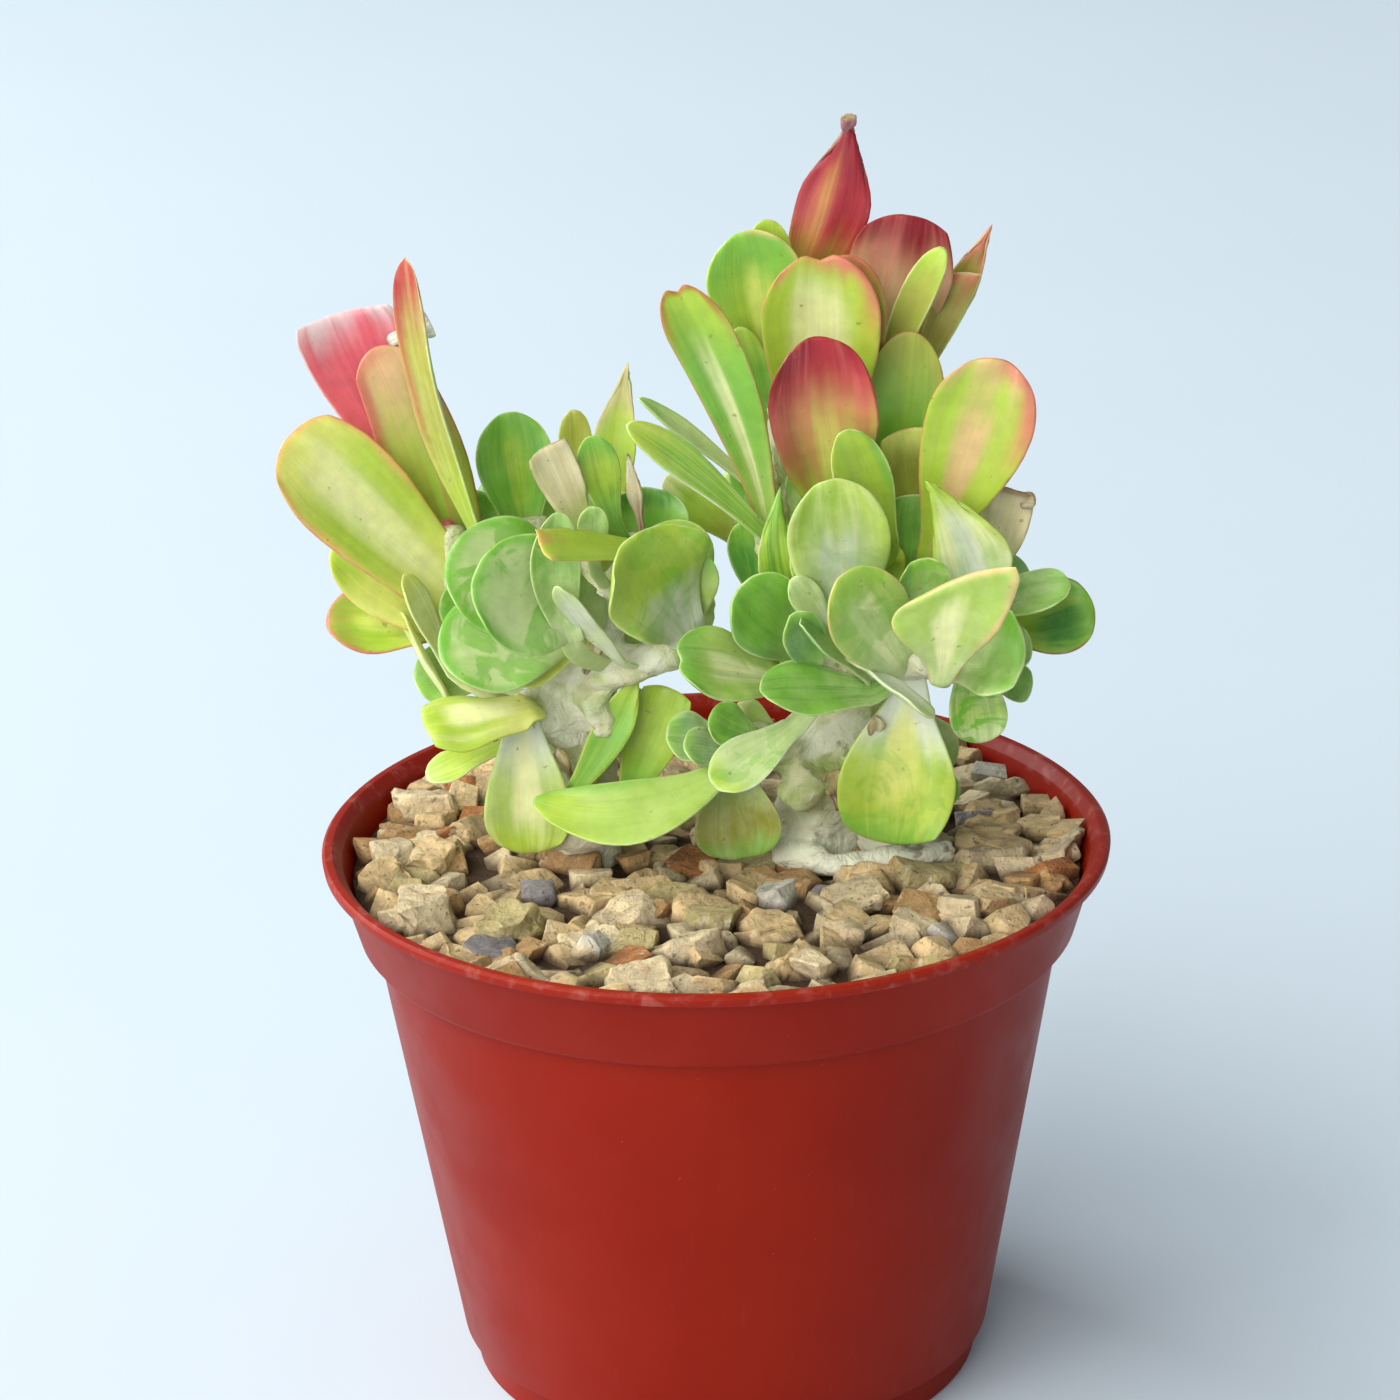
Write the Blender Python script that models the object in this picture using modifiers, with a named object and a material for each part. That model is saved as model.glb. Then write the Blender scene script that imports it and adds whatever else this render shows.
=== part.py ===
"""A potted crested paddle plant: a red plastic nursery pot, its potting mix, a top
dressing of angular gravel, and two crested stems crowded with paddle leaves.

Units are metres with +Z up. The origin is the middle of the pot's flat underside, and
the front of the plant looks along -Y.

A spot on the plant is written the way a grower would point at it from the front:
millimetres across and up in the picture plane, and millimetres of depth behind the
middle of the pot. SightLine turns such a spot into a point of the plant.
"""

import math
import random
from collections import namedtuple

import bmesh
import bpy
from mathutils import Matrix, Vector

MM = 0.001
OBJECT_NAME = "potted_crested_paddle_plant"

# Pot, as radius and height in millimetres
RIM_RADIUS = 77.5
POT_HEIGHT = 111.0
LIP_THICKNESS = 2.0
LIP_WIDTH = 2.5
COLLAR_HEIGHT = 17.5
COLLAR_TOP_RADIUS = 75.1
COLLAR_LOW_RADIUS = 71.0
BODY_TOP_RADIUS = 67.7
BODY_LOW_RADIUS = 53.5
FOOT_HEIGHT = 7.5
FOOT_RADIUS = 50.9
WALL = 1.5
FLOOR = 3.0
POT_STEPS = 32
DRAIN_HOLES = 5
DRAIN_RADIUS = 4.0
DRAIN_CIRCLE = 38.0

# Fill
CLEARANCE = 0.35
MIX_TOP = 95.8
BED_TOP = 104.6
STEM_HOLE_DEPTH = 12.0
STONE_COUNT = 82
STONE_SPACING = 12.2
STONE_CIRCLE = 64.5
STONE_TOP = 109.0
FRONT_STONE_TOP = 110.2
STONE_SEED = 11

# Stems: where each trunk stands, as x, y and radius
LEFT_FEET = ((-26.0, 3.0, 7.5),)
RIGHT_FEET = ((19.5, 3.0, 9.0), (36.0, 3.0, 9.0))
TRUNK_TOP = 112.0
STEM_SIDES = 6

# Leaves
BLADE = 1.7
BROAD_LEAF = 16.5
MIDDLE_LEAF = 10.0

# The front view that the spots are read in
VIEW_ELEVATION = math.radians(21.07)
VIEW_ROLL = math.radians(-1.303)
VIEW_CENTRE = Vector((0.0, 0.0, POT_HEIGHT))
VIEW_TARGET = Vector((-2.518, 0.0, 138.97))
VIEW_REACH = 876.5

Leaf = namedtuple(
    "Leaf",
    "name root tip width face wide stalk blunt point notch slant"
    " bow sway cup fold curl twist wave",
)


class SightLine:
    """Turns (across, up, depth) in millimetres into a point, all in millimetres."""

    def __init__(self):
        level = Vector((1.0, 0.0, 0.0))
        rise = Vector((0.0, math.sin(VIEW_ELEVATION), math.cos(VIEW_ELEVATION)))
        self.near = Vector((0.0, -math.cos(VIEW_ELEVATION), math.sin(VIEW_ELEVATION)))
        self.right = level * math.cos(VIEW_ROLL) + rise * math.sin(VIEW_ROLL)
        self.up = rise * math.cos(VIEW_ROLL) - level * math.sin(VIEW_ROLL)
        self.eye = VIEW_TARGET + self.near * VIEW_REACH

    def spot(self, across, up, depth):
        seen = VIEW_CENTRE + self.right * across + self.up * up
        ray = self.eye - seen
        return seen + ray * ((depth - seen.y) / ray.y)

    def direction(self, across, up, near):
        return self.right * across + self.up * up + self.near * near


VIEW = SightLine()


def leaf(name, root, tip, width, face=(0, 0.2, 1), wide=0.65, stalk=0.45, blunt=0, point=0,
         notch=0, slant=0, bow=0, sway=0, cup=0.25, fold=0, curl=0, twist=0, wave=0.06):
    """One leaf. root and tip are spots, width is in millimetres, and face is the way its
    upper side looks, as right, up and towards the viewer. wide is where along the blade
    it is broadest, stalk its width at the root, blunt, point, notch and slant the shape
    of its end, and the rest bend the sheet."""
    return Leaf(name, root, tip, width, face, wide, stalk, blunt, point, notch, slant,
                bow, sway, cup, fold, curl, twist, wave)


LEFT_LEAVES = (
    leaf("hood", (-59, 68, 12), (-74, 102.5, 10), 20, (0.1, -0.3, 1), wide=0.9, stalk=0.4,
         blunt=0.6, slant=-0.03),
    leaf("ember", (-49, 46, 7), (-67, 95.7, -1), 15.5, (0.1, -0.1, 1), wide=0.6, stalk=0.6,
         blunt=0.3, sway=0.03),
    leaf("crescent", (-46, 57, -4), (-61, 113.3, -6), 11.5, (-0.8, 0.1, 0.6), bow=0.045),
    leaf("flag", (-51, 46, -2), (-84.5, 77.8, -10), 21.5, (-0.1, 0.4, 1), wide=0.72, stalk=0.6,
         blunt=0.2),
    leaf("flag_back", (-52, 39.5, 3), (-75.5, 56.5, 0), 15, (-0.1, 0.4, 1)),
    leaf("low_left", (-54, 40, 6), (-76.8, 41.5, 2), 14.5, (-0.1, 0.5, 1), stalk=0.35),
    leaf("cream_edge", (-53, 33, -10), (-61.8, 50.6, -13), 8, (0.8, 0.3, 0.6)),
    leaf("cream_thin", (-52, 25, -2), (-62, 43.5, -2), 7, (-0.9, -0.3, 0.25)),
    leaf("pale_back", (-47, 30, 4), (-59.5, 31.5, 2), 12, (-0.2, 0.3, 1)),
    leaf("chip", (-43, 60, 9), (-50.2, 67.2, 9), 6, (-0.2, 0.3, 1), point=0.6),
    leaf("upright", (-38, 60, 6), (-41, 82.8, 8), 15, (0.1, 0.1, 1), wide=0.6),
    leaf("withered", (-25.5, 58, -8), (-33.7, 76, -12), 9, (0.1, 0.1, 1), wide=0.88, stalk=0.5,
         blunt=0.7, wave=0.2),
    leaf("olive_back", (-27, 66, 10), (-28, 83.3, 10), 6.6, (0, 0, 1)),
    leaf("bright", (-20.5, 62, -6), (-25, 78, -8), 8.2, (0.1, 0.2, 1)),
    leaf("spire", (-20.5, 64, 6), (-17.3, 92.8, 4), 9, (-0.3, 0, 1), wide=0.45, point=0.8,
         fold=0.3),
    leaf("wisp", (-15, 62, -6), (-17.5, 74.8, -6), 3.2, (-0.2, 0, 1), wide=0.4, point=0.8),
    leaf("disc_back", (-29, 47, -4), (-53.3, 53, -12), 23, (0, 0.1, 1), wide=0.55),
    leaf("disc", (-26, 43, -15), (-48, 50, -30), 23, (0, 0.1, 1), wide=0.55),
    leaf("crest_rim", (-40, 42, -4), (-54.6, 44.6, -9), 12, (-0.1, 0.2, 1)),
    leaf("disc_low", (-30, 39, -9), (-54.4, 34.5, -21), 20, (0, 0.3, 1), wide=0.6),
    leaf("tongue_low", (-28, 36, -10), (-40, 29.5, -16), 7, (0, 0.3, 1)),
    leaf("oblique", (-28.5, 38, -20), (-31.5, 63, -22), 10, (0.3, 0.1, 1), sway=-0.08, cup=0.4),
    leaf("bud", (-24, 54, -11), (-24.3, 64.3, -13), 6, (0, 0.1, 1)),
    leaf("round_top", (-14, 54, 1), (-13, 68, 1), 16),
    leaf("tongue", (-13, 54.5, -14), (-34.6, 56, -30), 8, (0, 0.6, 1), wide=0.85, stalk=0.7,
         blunt=0.9, sway=0.03),
    leaf("apron", (-6, 39, -12), (-17, 58, -24), 26, (0.1, 0.4, 1), wide=0.6, stalk=0.3,
         slant=-0.1, cup=0.2, wave=0.12),
    leaf("apron_mid", (-5, 41, -8), (-3.5, 55, -10), 9, (0.1, 0.2, 1)),
    leaf("apron_back", (-4, 43, -3), (-13, 60, -4), 18, (0.1, 0.2, 1)),
    leaf("slit_white", (-19, 34, -15), (-31.4, 48.4, -27), 6, (-0.5, -0.5, 0.8)),
    leaf("inner", (-14, 34, -2), (-19, 43, -3), 8),
    leaf("plump", (-38, 24.5, -13), (-57.8, 22, -18), 15, (-0.1, 0.8, 0.8), stalk=0.6, blunt=0.3,
         cup=-0.3),
    leaf("plump_low", (-44, 16, -8), (-57, 10.5, -12), 8, (-0.1, 0.8, 0.8)),
    leaf("gravel_tongue", (-38, 22, -9), (-36.5, -4.2, -11), 17, wide=0.7, stalk=0.4),
    leaf("fold_tall", (-28, 8, -10), (-15.5, 30.6, -8), 7.5, (0.1, 0.2, 1), wide=0.6, point=0.4,
         sway=0.03),
    leaf("fold_wing", (-17, 7, -7), (-9, 28.5, -5), 11.5, (0.1, 0.2, 1), wide=0.7, blunt=0.4),
)

RIGHT_LEAVES = (
    leaf("flame", (15, 104, 15), (26.6, 140.6, 16), 14.5, (-0.1, 0, 1), wide=0.55, stalk=0.5,
         point=0.8, sway=0.05, fold=-0.3),
    leaf("dome", (33, 92, 15), (38, 121.6, 14), 20.5, (0.1, 0, 1), wide=0.62, blunt=0.2,
         fold=-0.15),
    leaf("split_high", (42, 95, 20), (54.5, 119.8, 20), 6.5, (0, 0, 1), wide=0.5, point=0.85),
    leaf("split_low", (39, 88, 15), (49, 110.3, 14), 7, (0, 0, 1), wide=0.85, blunt=0.8,
         slant=0.06),
    leaf("blade", (33, 88, 7), (45, 115.3, 5), 7, (-0.4, 0, 1), sway=-0.03),
    leaf("pale_top", (11.5, 86, 8), (6, 118.6, 6), 18.5, (0, 0, 1), wide=0.7),
    leaf("pale_top_back", (12, 100, 11), (9.8, 120.8, 10), 9, (0, 0, 1)),
    leaf("heart", (21, 74, 4), (20.5, 114.4, 0), 22.5, (0, 0, 1), wide=0.68, notch=0.04),
    leaf("heart_back", (25, 80, 6), (26, 113.8, 5), 15.5, (0, 0, 1)),
    leaf("ruby", (23.5, 62, -6), (19.5, 97.6, -14), 20.5, (0, 0, 1), wide=0.62, wave=0.15),
    leaf("lip", (33.5, 57, -10), (25.3, 79.3, -17), 11, (0, 0.1, 1), wide=0.6),
    leaf("spoon", (11, 56, -3), (-8.5, 108, -13), 12, (-0.1, 0, 1), wide=0.82, stalk=0.25,
         notch=0.03, sway=0.05, fold=0.2),
    leaf("spoon_back", (11.5, 74, 5), (4.5, 99.5, 4), 8, (0, 0, 1)),
    leaf("dark_olive", (34, 62, 4), (38.5, 98.7, 3), 17, (0, 0, 1), wide=0.55),
    leaf("sliver", (30, 74, 9), (33.5, 97, 9), 6, (0, 0, 1)),
    leaf("sun", (43, 56, -6), (56.5, 93.2, -13), 20.5, (0, 0, 1), wide=0.7, stalk=0.3),
    leaf("sun_low", (41, 58, 0), (37.5, 79.5, -2.5), 12, blunt=0.6),
    leaf("moon", (26, 42, -12), (22.5, 69.6, -24), 19.5, (0, 0.1, 1), wide=0.62),
    leaf("moon_low", (36, 33, -18), (24.5, 50.5, -30), 17, wide=0.6),
    leaf("cup", (44.5, 30.5, -26), (47.8, 50, -34), 22, (0, 0.1, 1), wide=0.85, stalk=0.2,
         blunt=0.6, slant=0.3),
    leaf("sail", (52, 45, -12), (41.3, 69.3, -16), 15.5, (-0.2, 0.1, 1), wide=0.3, stalk=0.6,
         point=0.8, sway=0.08),
    leaf("dried", (53, 48, 0), (58, 67.8, -4), 10.5, (0, 0, 1), wide=0.8, blunt=0.5, wave=0.2),
    leaf("twist", (54, 45, -3), (70, 48.2, -8), 10, (0, 0.5, 1), twist=30),
    leaf("far_right", (58, 40, 4), (74.7, 43.8, 2), 16, (0, 0.3, 1), wide=0.6),
    leaf("cup_right", (48, 33, -12), (61, 35.5, -20), 17.5, (0, 0.3, 1), blunt=0.4, cup=0.4),
    leaf("cup_right_back", (54, 35, -6), (62.4, 37, -8), 9, (0, 0.3, 1)),
    leaf("low_right", (55, 30, 0), (62.4, 28.5, 0), 8, (0, 0.3, 1)),
    leaf("droop_right", (50, 33, -8), (52.5, 17.6, -12), 11.5),
    leaf("level", (28.5, 27.5, -18), (8.8, 27.8, -30), 11.8, (0, 0.5, 1), wide=0.6, stalk=0.55),
    leaf("rim_thick", (29, 31, -17), (16.6, 41.2, -28), 8, (0.5, 0.7, 0.8)),
    leaf("rim_small", (19.5, 32, -18), (15.5, 43.3, -27), 8.5),
    leaf("white_edge", (30, 32, -22), (43, 22.4, -27), 8, (0.4, 0.8, 0.3)),
    leaf("bib", (38, 27, -14), (34, -2.3, -16), 22.8, (0, 0.1, 1), wide=0.6, stalk=0.36,
         blunt=0.15),
    leaf("bib_wing", (41, 4, -4), (47.2, 10.8, -8), 7),
    leaf("frosted", (14.5, 20, -20), (-0.5, 9, -30), 10.5, (0, 0.4, 1)),
    leaf("hang", (3, 12, -10), (5, -5.3, -11), 17),
    leaf("nest_a", (1, 18, -10), (-9.8, 19, -13), 10, (0, 0.3, 1)),
    leaf("nest_b", (2, 16, -12), (-6.3, 17, -17), 8, (0, 0.3, 1)),
    leaf("nest_c", (7, 19, -12), (-1.5, 22.5, -15), 9, (0, 0.3, 1)),
    leaf("nest_d", (11, 20, -4), (4, 25, -6), 6, (0, 0.3, 1)),
    leaf("front_mid", (12, 30, -18), (-8, 34, -31), 15, (0, 0.4, 1), notch=0.05),
    leaf("front_round", (16, 36, -14), (4.3, 48, -22), 16),
    leaf("shade", (9, 46, -1), (5.5, 61.4, -2), 9, (0, 0.1, 1)),
    leaf("spear", (16, 43, -12), (12.8, 68.3, -15), 8.5, (0, 0.1, 1), wide=0.4, point=0.9,
         sway=-0.08),
    leaf("white_under", (22, 40, -18), (15, 50, -21), 6.5, (0, 0.3, 1)),
    leaf("tuck", (33, 46, -5), (34.5, 57, -5), 7, (0, 0.1, 1)),
    leaf("back_green", (38, 48, -2), (39.5, 66.6, -2.5), 13, (0, 0.1, 1), blunt=0.3),
    leaf("rim_right", (42, 44, -17), (40, 53.8, -21), 10),
    leaf("teal", (14, 58, 3), (13, 76, 6), 7, (0, 0.1, 1)),
    leaf("teal_pale", (17, 58, 0), (17, 73, 0), 7, (0, 0.1, 1)),
    leaf("sliver_low", (7, 58, 4), (3.8, 75, 6), 4.5, (0, 0.1, 1)),
    leaf("far_back", (4, 58, 10), (-10, 70, 12), 8, (0, 0.1, 1)),
    leaf("needle", (9, 66.5, 0), (-15.3, 85.6, -4), 5, (0.4, 0.6, 0.7), sway=0.02),
    leaf("oar", (9, 59, -9), (-17.6, 80.3, -15), 7.5, (0.1, 0.4, 0.9), wide=0.7, sway=0.03),
    leaf("boat", (2, 12, -14), (-36, 5.5, -18), 14.5, (0, 0.7, 1), wide=0.5, stalk=0.4,
         sway=-0.18),
)

# Leaves of the far side: root, tip and width
LEFT_BACK = (
    ((-50, 50, 6), (-58, 74, 20), 16),
    ((-46, 43, 8), (-54, 60, 28), 18),
    ((-40, 48, 8), (-44, 70, 24), 16),
    ((-36, 42, 8), (-38, 58, 32), 16),
    ((-35, 56, 7), (-37, 73, 20), 15),
    ((-30, 34, 8), (-34, 46, 30), 16),
    ((-28, 46, 8), (-27, 68, 26), 16),
    ((-23, 36, 8), (-18, 50, 30), 16),
    ((-20, 50, 7), (-19, 70, 22), 16),
    ((-28, 26, 8), (-31, 9, 15), 15),
    ((-25, 22, 8), (-17, 25, 27), 14),
)
RIGHT_BACK = (
    ((12, 54, 6), (3, 72, 20), 16),
    ((12, 70, 7), (6, 92, 16), 16),
    ((22, 50, 8), (17, 66, 30), 16),
    ((25, 64, 8), (21, 86, 28), 16),
    ((23, 78, 9), (16, 99, 22), 16),
    ((29, 86, 10), (33, 108, 24), 16),
    ((20, 95, 10), (19, 111, 22), 13),
    ((31, 40, 8), (26, 52, 32), 16),
    ((34, 54, 8), (38, 74, 28), 19),
    ((37, 34, 8), (40, 42, 32), 16),
    ((43, 45, 8), (47, 63, 26), 16),
    ((49, 50, 6), (56, 68, 22), 16),
    ((52, 42, 6), (62, 51, 22), 16),
    ((30, 26, 9), (27, 8, 16), 16),
    ((36, 24, 9), (43, 10, 16), 15),
    ((24, 30, 9), (15, 34, 28), 16),
    ((36, 66, 8), (42, 88, 20), 15),
)
BACK_SEED = 5

# Branches of each crest: spots with a radius, from the trunk outwards
LEFT_BRANCHES = (
    ((-26.5, 14, 2, 7.5), (-26, 24, 1, 7.5), (-27, 34, -1, 7.5)),
    ((-27, 30, 0, 7.0), (-36, 41, -2, 7.0), (-46, 45, -1, 6.0), (-52, 50, 0, 4.5),
     (-52, 60, 1, 3.0)),
    ((-27, 33, -2, 6.5), (-22, 44, -2, 6.0), (-17, 52, -1, 6.0), (-14, 58, 1, 4.0)),
    ((-36, 41, 0, 6.0), (-36, 52, 2, 6.0), (-37, 62, 4, 4.0)),
    ((-22, 44, 0, 5.5), (-24, 56, 2, 5.0), (-23, 64, 2, 3.5)),
    ((-24, 32, -4, 5.0), (-15, 33.5, -8, 4.0), (-8, 35.5, -9, 4.0), (-4, 41, -8, 3.5)),
    ((-27, 20, 0, 6.0), (-34, 23, -5, 5.0), (-39, 25, -8, 4.0)),
    ((-27, 6, 2, 6.5), (-23, 6, -5, 4.0)),
)
RIGHT_BRANCHES = (
    ((20, 8, 1, 8.0), (24, 18, -1, 7.5), (30, 27, -2, 7.5), (33, 34, -3, 7.0)),
    ((36, 10, 2, 8.0), (35, 22, 0, 7.5), (34, 33, -2, 7.5)),
    ((33, 34, -3, 7.0), (30, 46, -2, 6.5), (26, 58, 1, 6.0), (24, 70, 4, 5.0), (24, 82, 6, 4.5),
     (23, 92, 7, 3.5), (18, 104, 8, 2.5)),
    ((24, 80, 6, 4.0), (30, 88, 8, 3.5), (35, 94, 9, 3.0), (40, 96, 9, 2.5)),
    ((31, 42, -3, 6.0), (22, 48, -4, 6.0), (15, 52, -3, 5.5), (11, 58, -1, 4.5),
     (11, 66, 0, 3.5), (12, 76, 4, 3.0), (13, 90, 6, 2.5)),
    ((35, 34, -3, 7.0), (42, 42, -2, 6.5), (48, 47, 0, 5.5), (56, 45, 2, 4.0)),
    ((42, 42, -2, 6.0), (43, 54, 0, 5.0), (43, 61, 1, 3.5)),
    ((33, 34, -4, 6.0), (37, 34, -12, 5.0), (43, 34, -18, 4.0)),
    ((31, 30, -4, 6.0), (28, 32, -12, 5.0), (20, 36, -13, 4.5), (15, 36, -11, 4.0),
     (12, 31, -10, 3.5)),
    ((21, 10, 0, 6.5), (14, 16, -4, 5.0), (8, 18, -6, 4.5), (3, 16, -8, 4.0)),
)


def back_leaves(name, places, seed):
    """The far side's leaves, which look back and up, with small seeded changes of shape."""
    draw = random.Random(seed)
    leaves = []
    for number, (root, tip, width) in enumerate(places):
        face = (draw.uniform(-0.3, 0.3), 0.45, -1)
        leaves.append(leaf(f"{name}_{number}", root, tip, width, face, wide=draw.uniform(0.58, 0.7),
                           stalk=0.42, cup=draw.uniform(0.15, 0.35), sway=draw.uniform(-0.04, 0.04)))
    return tuple(leaves)


def clear_scene():
    for item in list(bpy.data.objects):
        bpy.data.objects.remove(item, do_unlink=True)


def new_collection(name):
    collection = bpy.data.collections.new(name)
    bpy.context.scene.collection.children.link(collection)
    return collection


def add_object(name, data, collection):
    item = bpy.data.objects.new(name, data)
    collection.objects.link(item)
    return item


def material(name, colour, roughness, metallic=0.0):
    finish = bpy.data.materials.new(name)
    finish.use_nodes = True
    shader = finish.node_tree.nodes["Principled BSDF"]
    shader.inputs["Base Color"].default_value = (*colour, 1.0)
    shader.inputs["Roughness"].default_value = roughness
    shader.inputs["Metallic"].default_value = metallic
    return finish


def apply_modifiers(item):
    """Keeps the evaluated mesh as the object's own."""
    depsgraph = bpy.context.evaluated_depsgraph_get()
    mesh = bpy.data.meshes.new_from_object(item.evaluated_get(depsgraph))
    item.modifiers.clear()
    item.data = mesh


def turned(name, profile, steps, collection):
    """A closed solid turned round +Z from (radius, height) points in millimetres."""
    mesh = bpy.data.meshes.new(name)
    points = [(radius * MM, 0.0, height * MM) for radius, height in profile]
    mesh.from_pydata(points, [(i, i + 1) for i in range(len(points) - 1)], [])
    item = add_object(name, mesh, collection)
    screw = item.modifiers.new("turn", "SCREW")
    screw.steps = steps
    screw.render_steps = steps
    screw.use_merge_vertices = True
    screw.merge_threshold = 0.00005
    screw.use_smooth_shade = True
    return item


def cylinder_cutter(name, x, y, bottom, top, radius, sides, collection):
    mesh = bpy.data.meshes.new(name)
    solid = bmesh.new()
    bmesh.ops.create_cone(solid, cap_ends=True, segments=sides, radius1=radius * MM,
                          radius2=radius * MM, depth=(top - bottom) * MM)
    bmesh.ops.translate(solid, verts=solid.verts,
                        vec=Vector((x, y, (top + bottom) / 2.0)) * MM)
    solid.to_mesh(mesh)
    solid.free()
    item = add_object(name, mesh, collection)
    item.hide_render = True
    item.display_type = "WIRE"
    return item


def boolean(item, operation, collection, solver="EXACT"):
    cut = item.modifiers.new(operation.lower(), "BOOLEAN")
    cut.operation = operation
    cut.operand_type = "COLLECTION"
    cut.collection = collection
    cut.solver = solver
    return cut


def pot_inside():
    """The pot's inner surface as (radius, height), from the floor to the lip."""
    collar = POT_HEIGHT - COLLAR_HEIGHT
    return (
        (FOOT_RADIUS - WALL, FLOOR),
        (FOOT_RADIUS - WALL, FOOT_HEIGHT - 0.2),
        (BODY_LOW_RADIUS - WALL, FOOT_HEIGHT + 1.2),
        (BODY_TOP_RADIUS - WALL, collar + 0.9),
        (COLLAR_LOW_RADIUS - WALL, collar + 2.1),
        (COLLAR_TOP_RADIUS - WALL, POT_HEIGHT - LIP_THICKNESS),
        (RIM_RADIUS - LIP_WIDTH, POT_HEIGHT - 0.4),
    )


def inner_radius(height):
    """The pot's inside radius at a height, in millimetres."""
    inside = pot_inside()
    for (radius_a, low), (radius_b, high) in zip(inside, inside[1:]):
        if height <= high:
            share = max(0.0, (height - low) / (high - low))
            return radius_a + share * (radius_b - radius_a)
    return inside[-1][0]


def make_pot(parts, cutters):
    collar = POT_HEIGHT - COLLAR_HEIGHT
    under_lip = POT_HEIGHT - LIP_THICKNESS
    outside = (
        (RIM_RADIUS - LIP_WIDTH + 0.5, POT_HEIGHT),
        (RIM_RADIUS - 0.6, POT_HEIGHT),
        (RIM_RADIUS, POT_HEIGHT - 0.6),
        (RIM_RADIUS - 0.2, under_lip),
        (COLLAR_TOP_RADIUS, under_lip),
        (COLLAR_LOW_RADIUS, collar + 1.2),
        (COLLAR_LOW_RADIUS - 0.9, collar),
        (BODY_TOP_RADIUS, collar - 0.6),
        (BODY_LOW_RADIUS, FOOT_HEIGHT),
        (FOOT_RADIUS, FOOT_HEIGHT - 1.0),
        (FOOT_RADIUS, 0.6),
        (FOOT_RADIUS - 0.6, 0.0),
        (0.0, 0.0),
    )
    pot = turned("pot", ((0.0, FLOOR),) + pot_inside() + outside, POT_STEPS, parts)
    holes = bpy.data.collections.new("drain_holes")
    cutters.children.link(holes)
    for number in range(DRAIN_HOLES):
        angle = math.tau * (number + 0.3) / DRAIN_HOLES
        x = DRAIN_CIRCLE * math.cos(angle)
        y = DRAIN_CIRCLE * math.sin(angle)
        cylinder_cutter(f"drain_{number}", x, y, -2.0, FLOOR + 2.0, DRAIN_RADIUS, 10, holes)
    boolean(pot, "DIFFERENCE", holes)
    pot.data.materials.append(material("red_plastic", (0.36, 0.035, 0.012), 0.42))
    return pot


def stem_holes(cutters):
    """Round cutters a little wider than each trunk, down into the mix."""
    holes = bpy.data.collections.new("stem_holes")
    cutters.children.link(holes)
    bottom = MIX_TOP - STEM_HOLE_DEPTH
    for number, (x, y, radius) in enumerate(LEFT_FEET + RIGHT_FEET):
        wide = radius + 2.0 * CLEARANCE
        cylinder_cutter(f"stem_hole_{number}", x, y, bottom, TRUNK_TOP + 4.0, wide, 20, holes)
    return holes


def make_mix(parts, holes):
    foot, step, low_wall, high_wall = pot_inside()[:4]
    profile = (
        (0.0, MIX_TOP),
        (high_wall[0] - CLEARANCE, MIX_TOP),
        (high_wall[0] - CLEARANCE, high_wall[1]),
        (low_wall[0] - CLEARANCE, low_wall[1] + 0.2),
        (step[0] - CLEARANCE, step[1] + 0.2),
        (foot[0] - CLEARANCE, foot[1] + CLEARANCE),
        (0.0, foot[1] + CLEARANCE),
    )
    mix = turned("potting_mix", profile, POT_STEPS, parts)
    boolean(mix, "DIFFERENCE", holes)
    mix.data.materials.append(material("potting_mix", (0.045, 0.03, 0.02), 0.95))
    return mix


def stone_spots():
    """Where the stones lie: darts thrown until the dressing is covered, none closer than
    the spacing."""
    draw = random.Random(STONE_SEED)
    spots = []
    tries = 0
    while len(spots) < STONE_COUNT and tries < 20000:
        tries += 1
        reach = STONE_CIRCLE * math.sqrt(draw.random())
        angle = math.tau * draw.random()
        here = Vector((reach * math.cos(angle), reach * math.sin(angle)))
        if all((here - other).length >= STONE_SPACING for other in spots):
            spots.append(here)
    return spots


def stone(number, here, draw):
    """One angular stone: a block with uneven corners, tilted and turned."""
    solid = bmesh.new()
    bmesh.ops.create_cube(solid, size=2.0)
    for corner in solid.verts:
        for axis in range(3):
            corner.co[axis] *= draw.uniform(0.62, 1.08)
    size = Vector((draw.uniform(5.4, 7.2), draw.uniform(4.6, 5.6), draw.uniform(3.2, 4.4)))
    turn = (Matrix.Rotation(draw.uniform(0.0, math.tau), 4, "Z")
            @ Matrix.Rotation(draw.uniform(-0.5, 0.5), 4, "X")
            @ Matrix.Rotation(draw.uniform(-0.35, 0.35), 4, "Y"))
    bmesh.ops.transform(solid, matrix=turn @ Matrix.Diagonal((*size, 1.0)), verts=solid.verts)
    highest = max(corner.co.z for corner in solid.verts)
    frontness = max(0.0, -here.y - 30.0) / 35.0
    top = STONE_TOP + (FRONT_STONE_TOP - STONE_TOP) * min(1.0, frontness) + draw.uniform(-1.6, 0.0)
    bmesh.ops.translate(solid, verts=solid.verts, vec=(here.x, here.y, top - highest))
    for corner in solid.verts:
        flat = Vector((corner.co.x, corner.co.y))
        limit = inner_radius(corner.co.z) - 0.7
        if flat.length > limit:
            flat *= limit / flat.length
            corner.co.x = flat.x
            corner.co.y = flat.y
        corner.co.z = max(corner.co.z, BED_TOP - 4.0)
        corner.co *= MM
    mesh = bpy.data.meshes.new(f"stone_{number}")
    bmesh.ops.triangulate(solid, faces=solid.faces)
    bmesh.ops.recalc_face_normals(solid, faces=solid.faces)
    solid.to_mesh(mesh)
    solid.free()
    return mesh


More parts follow.
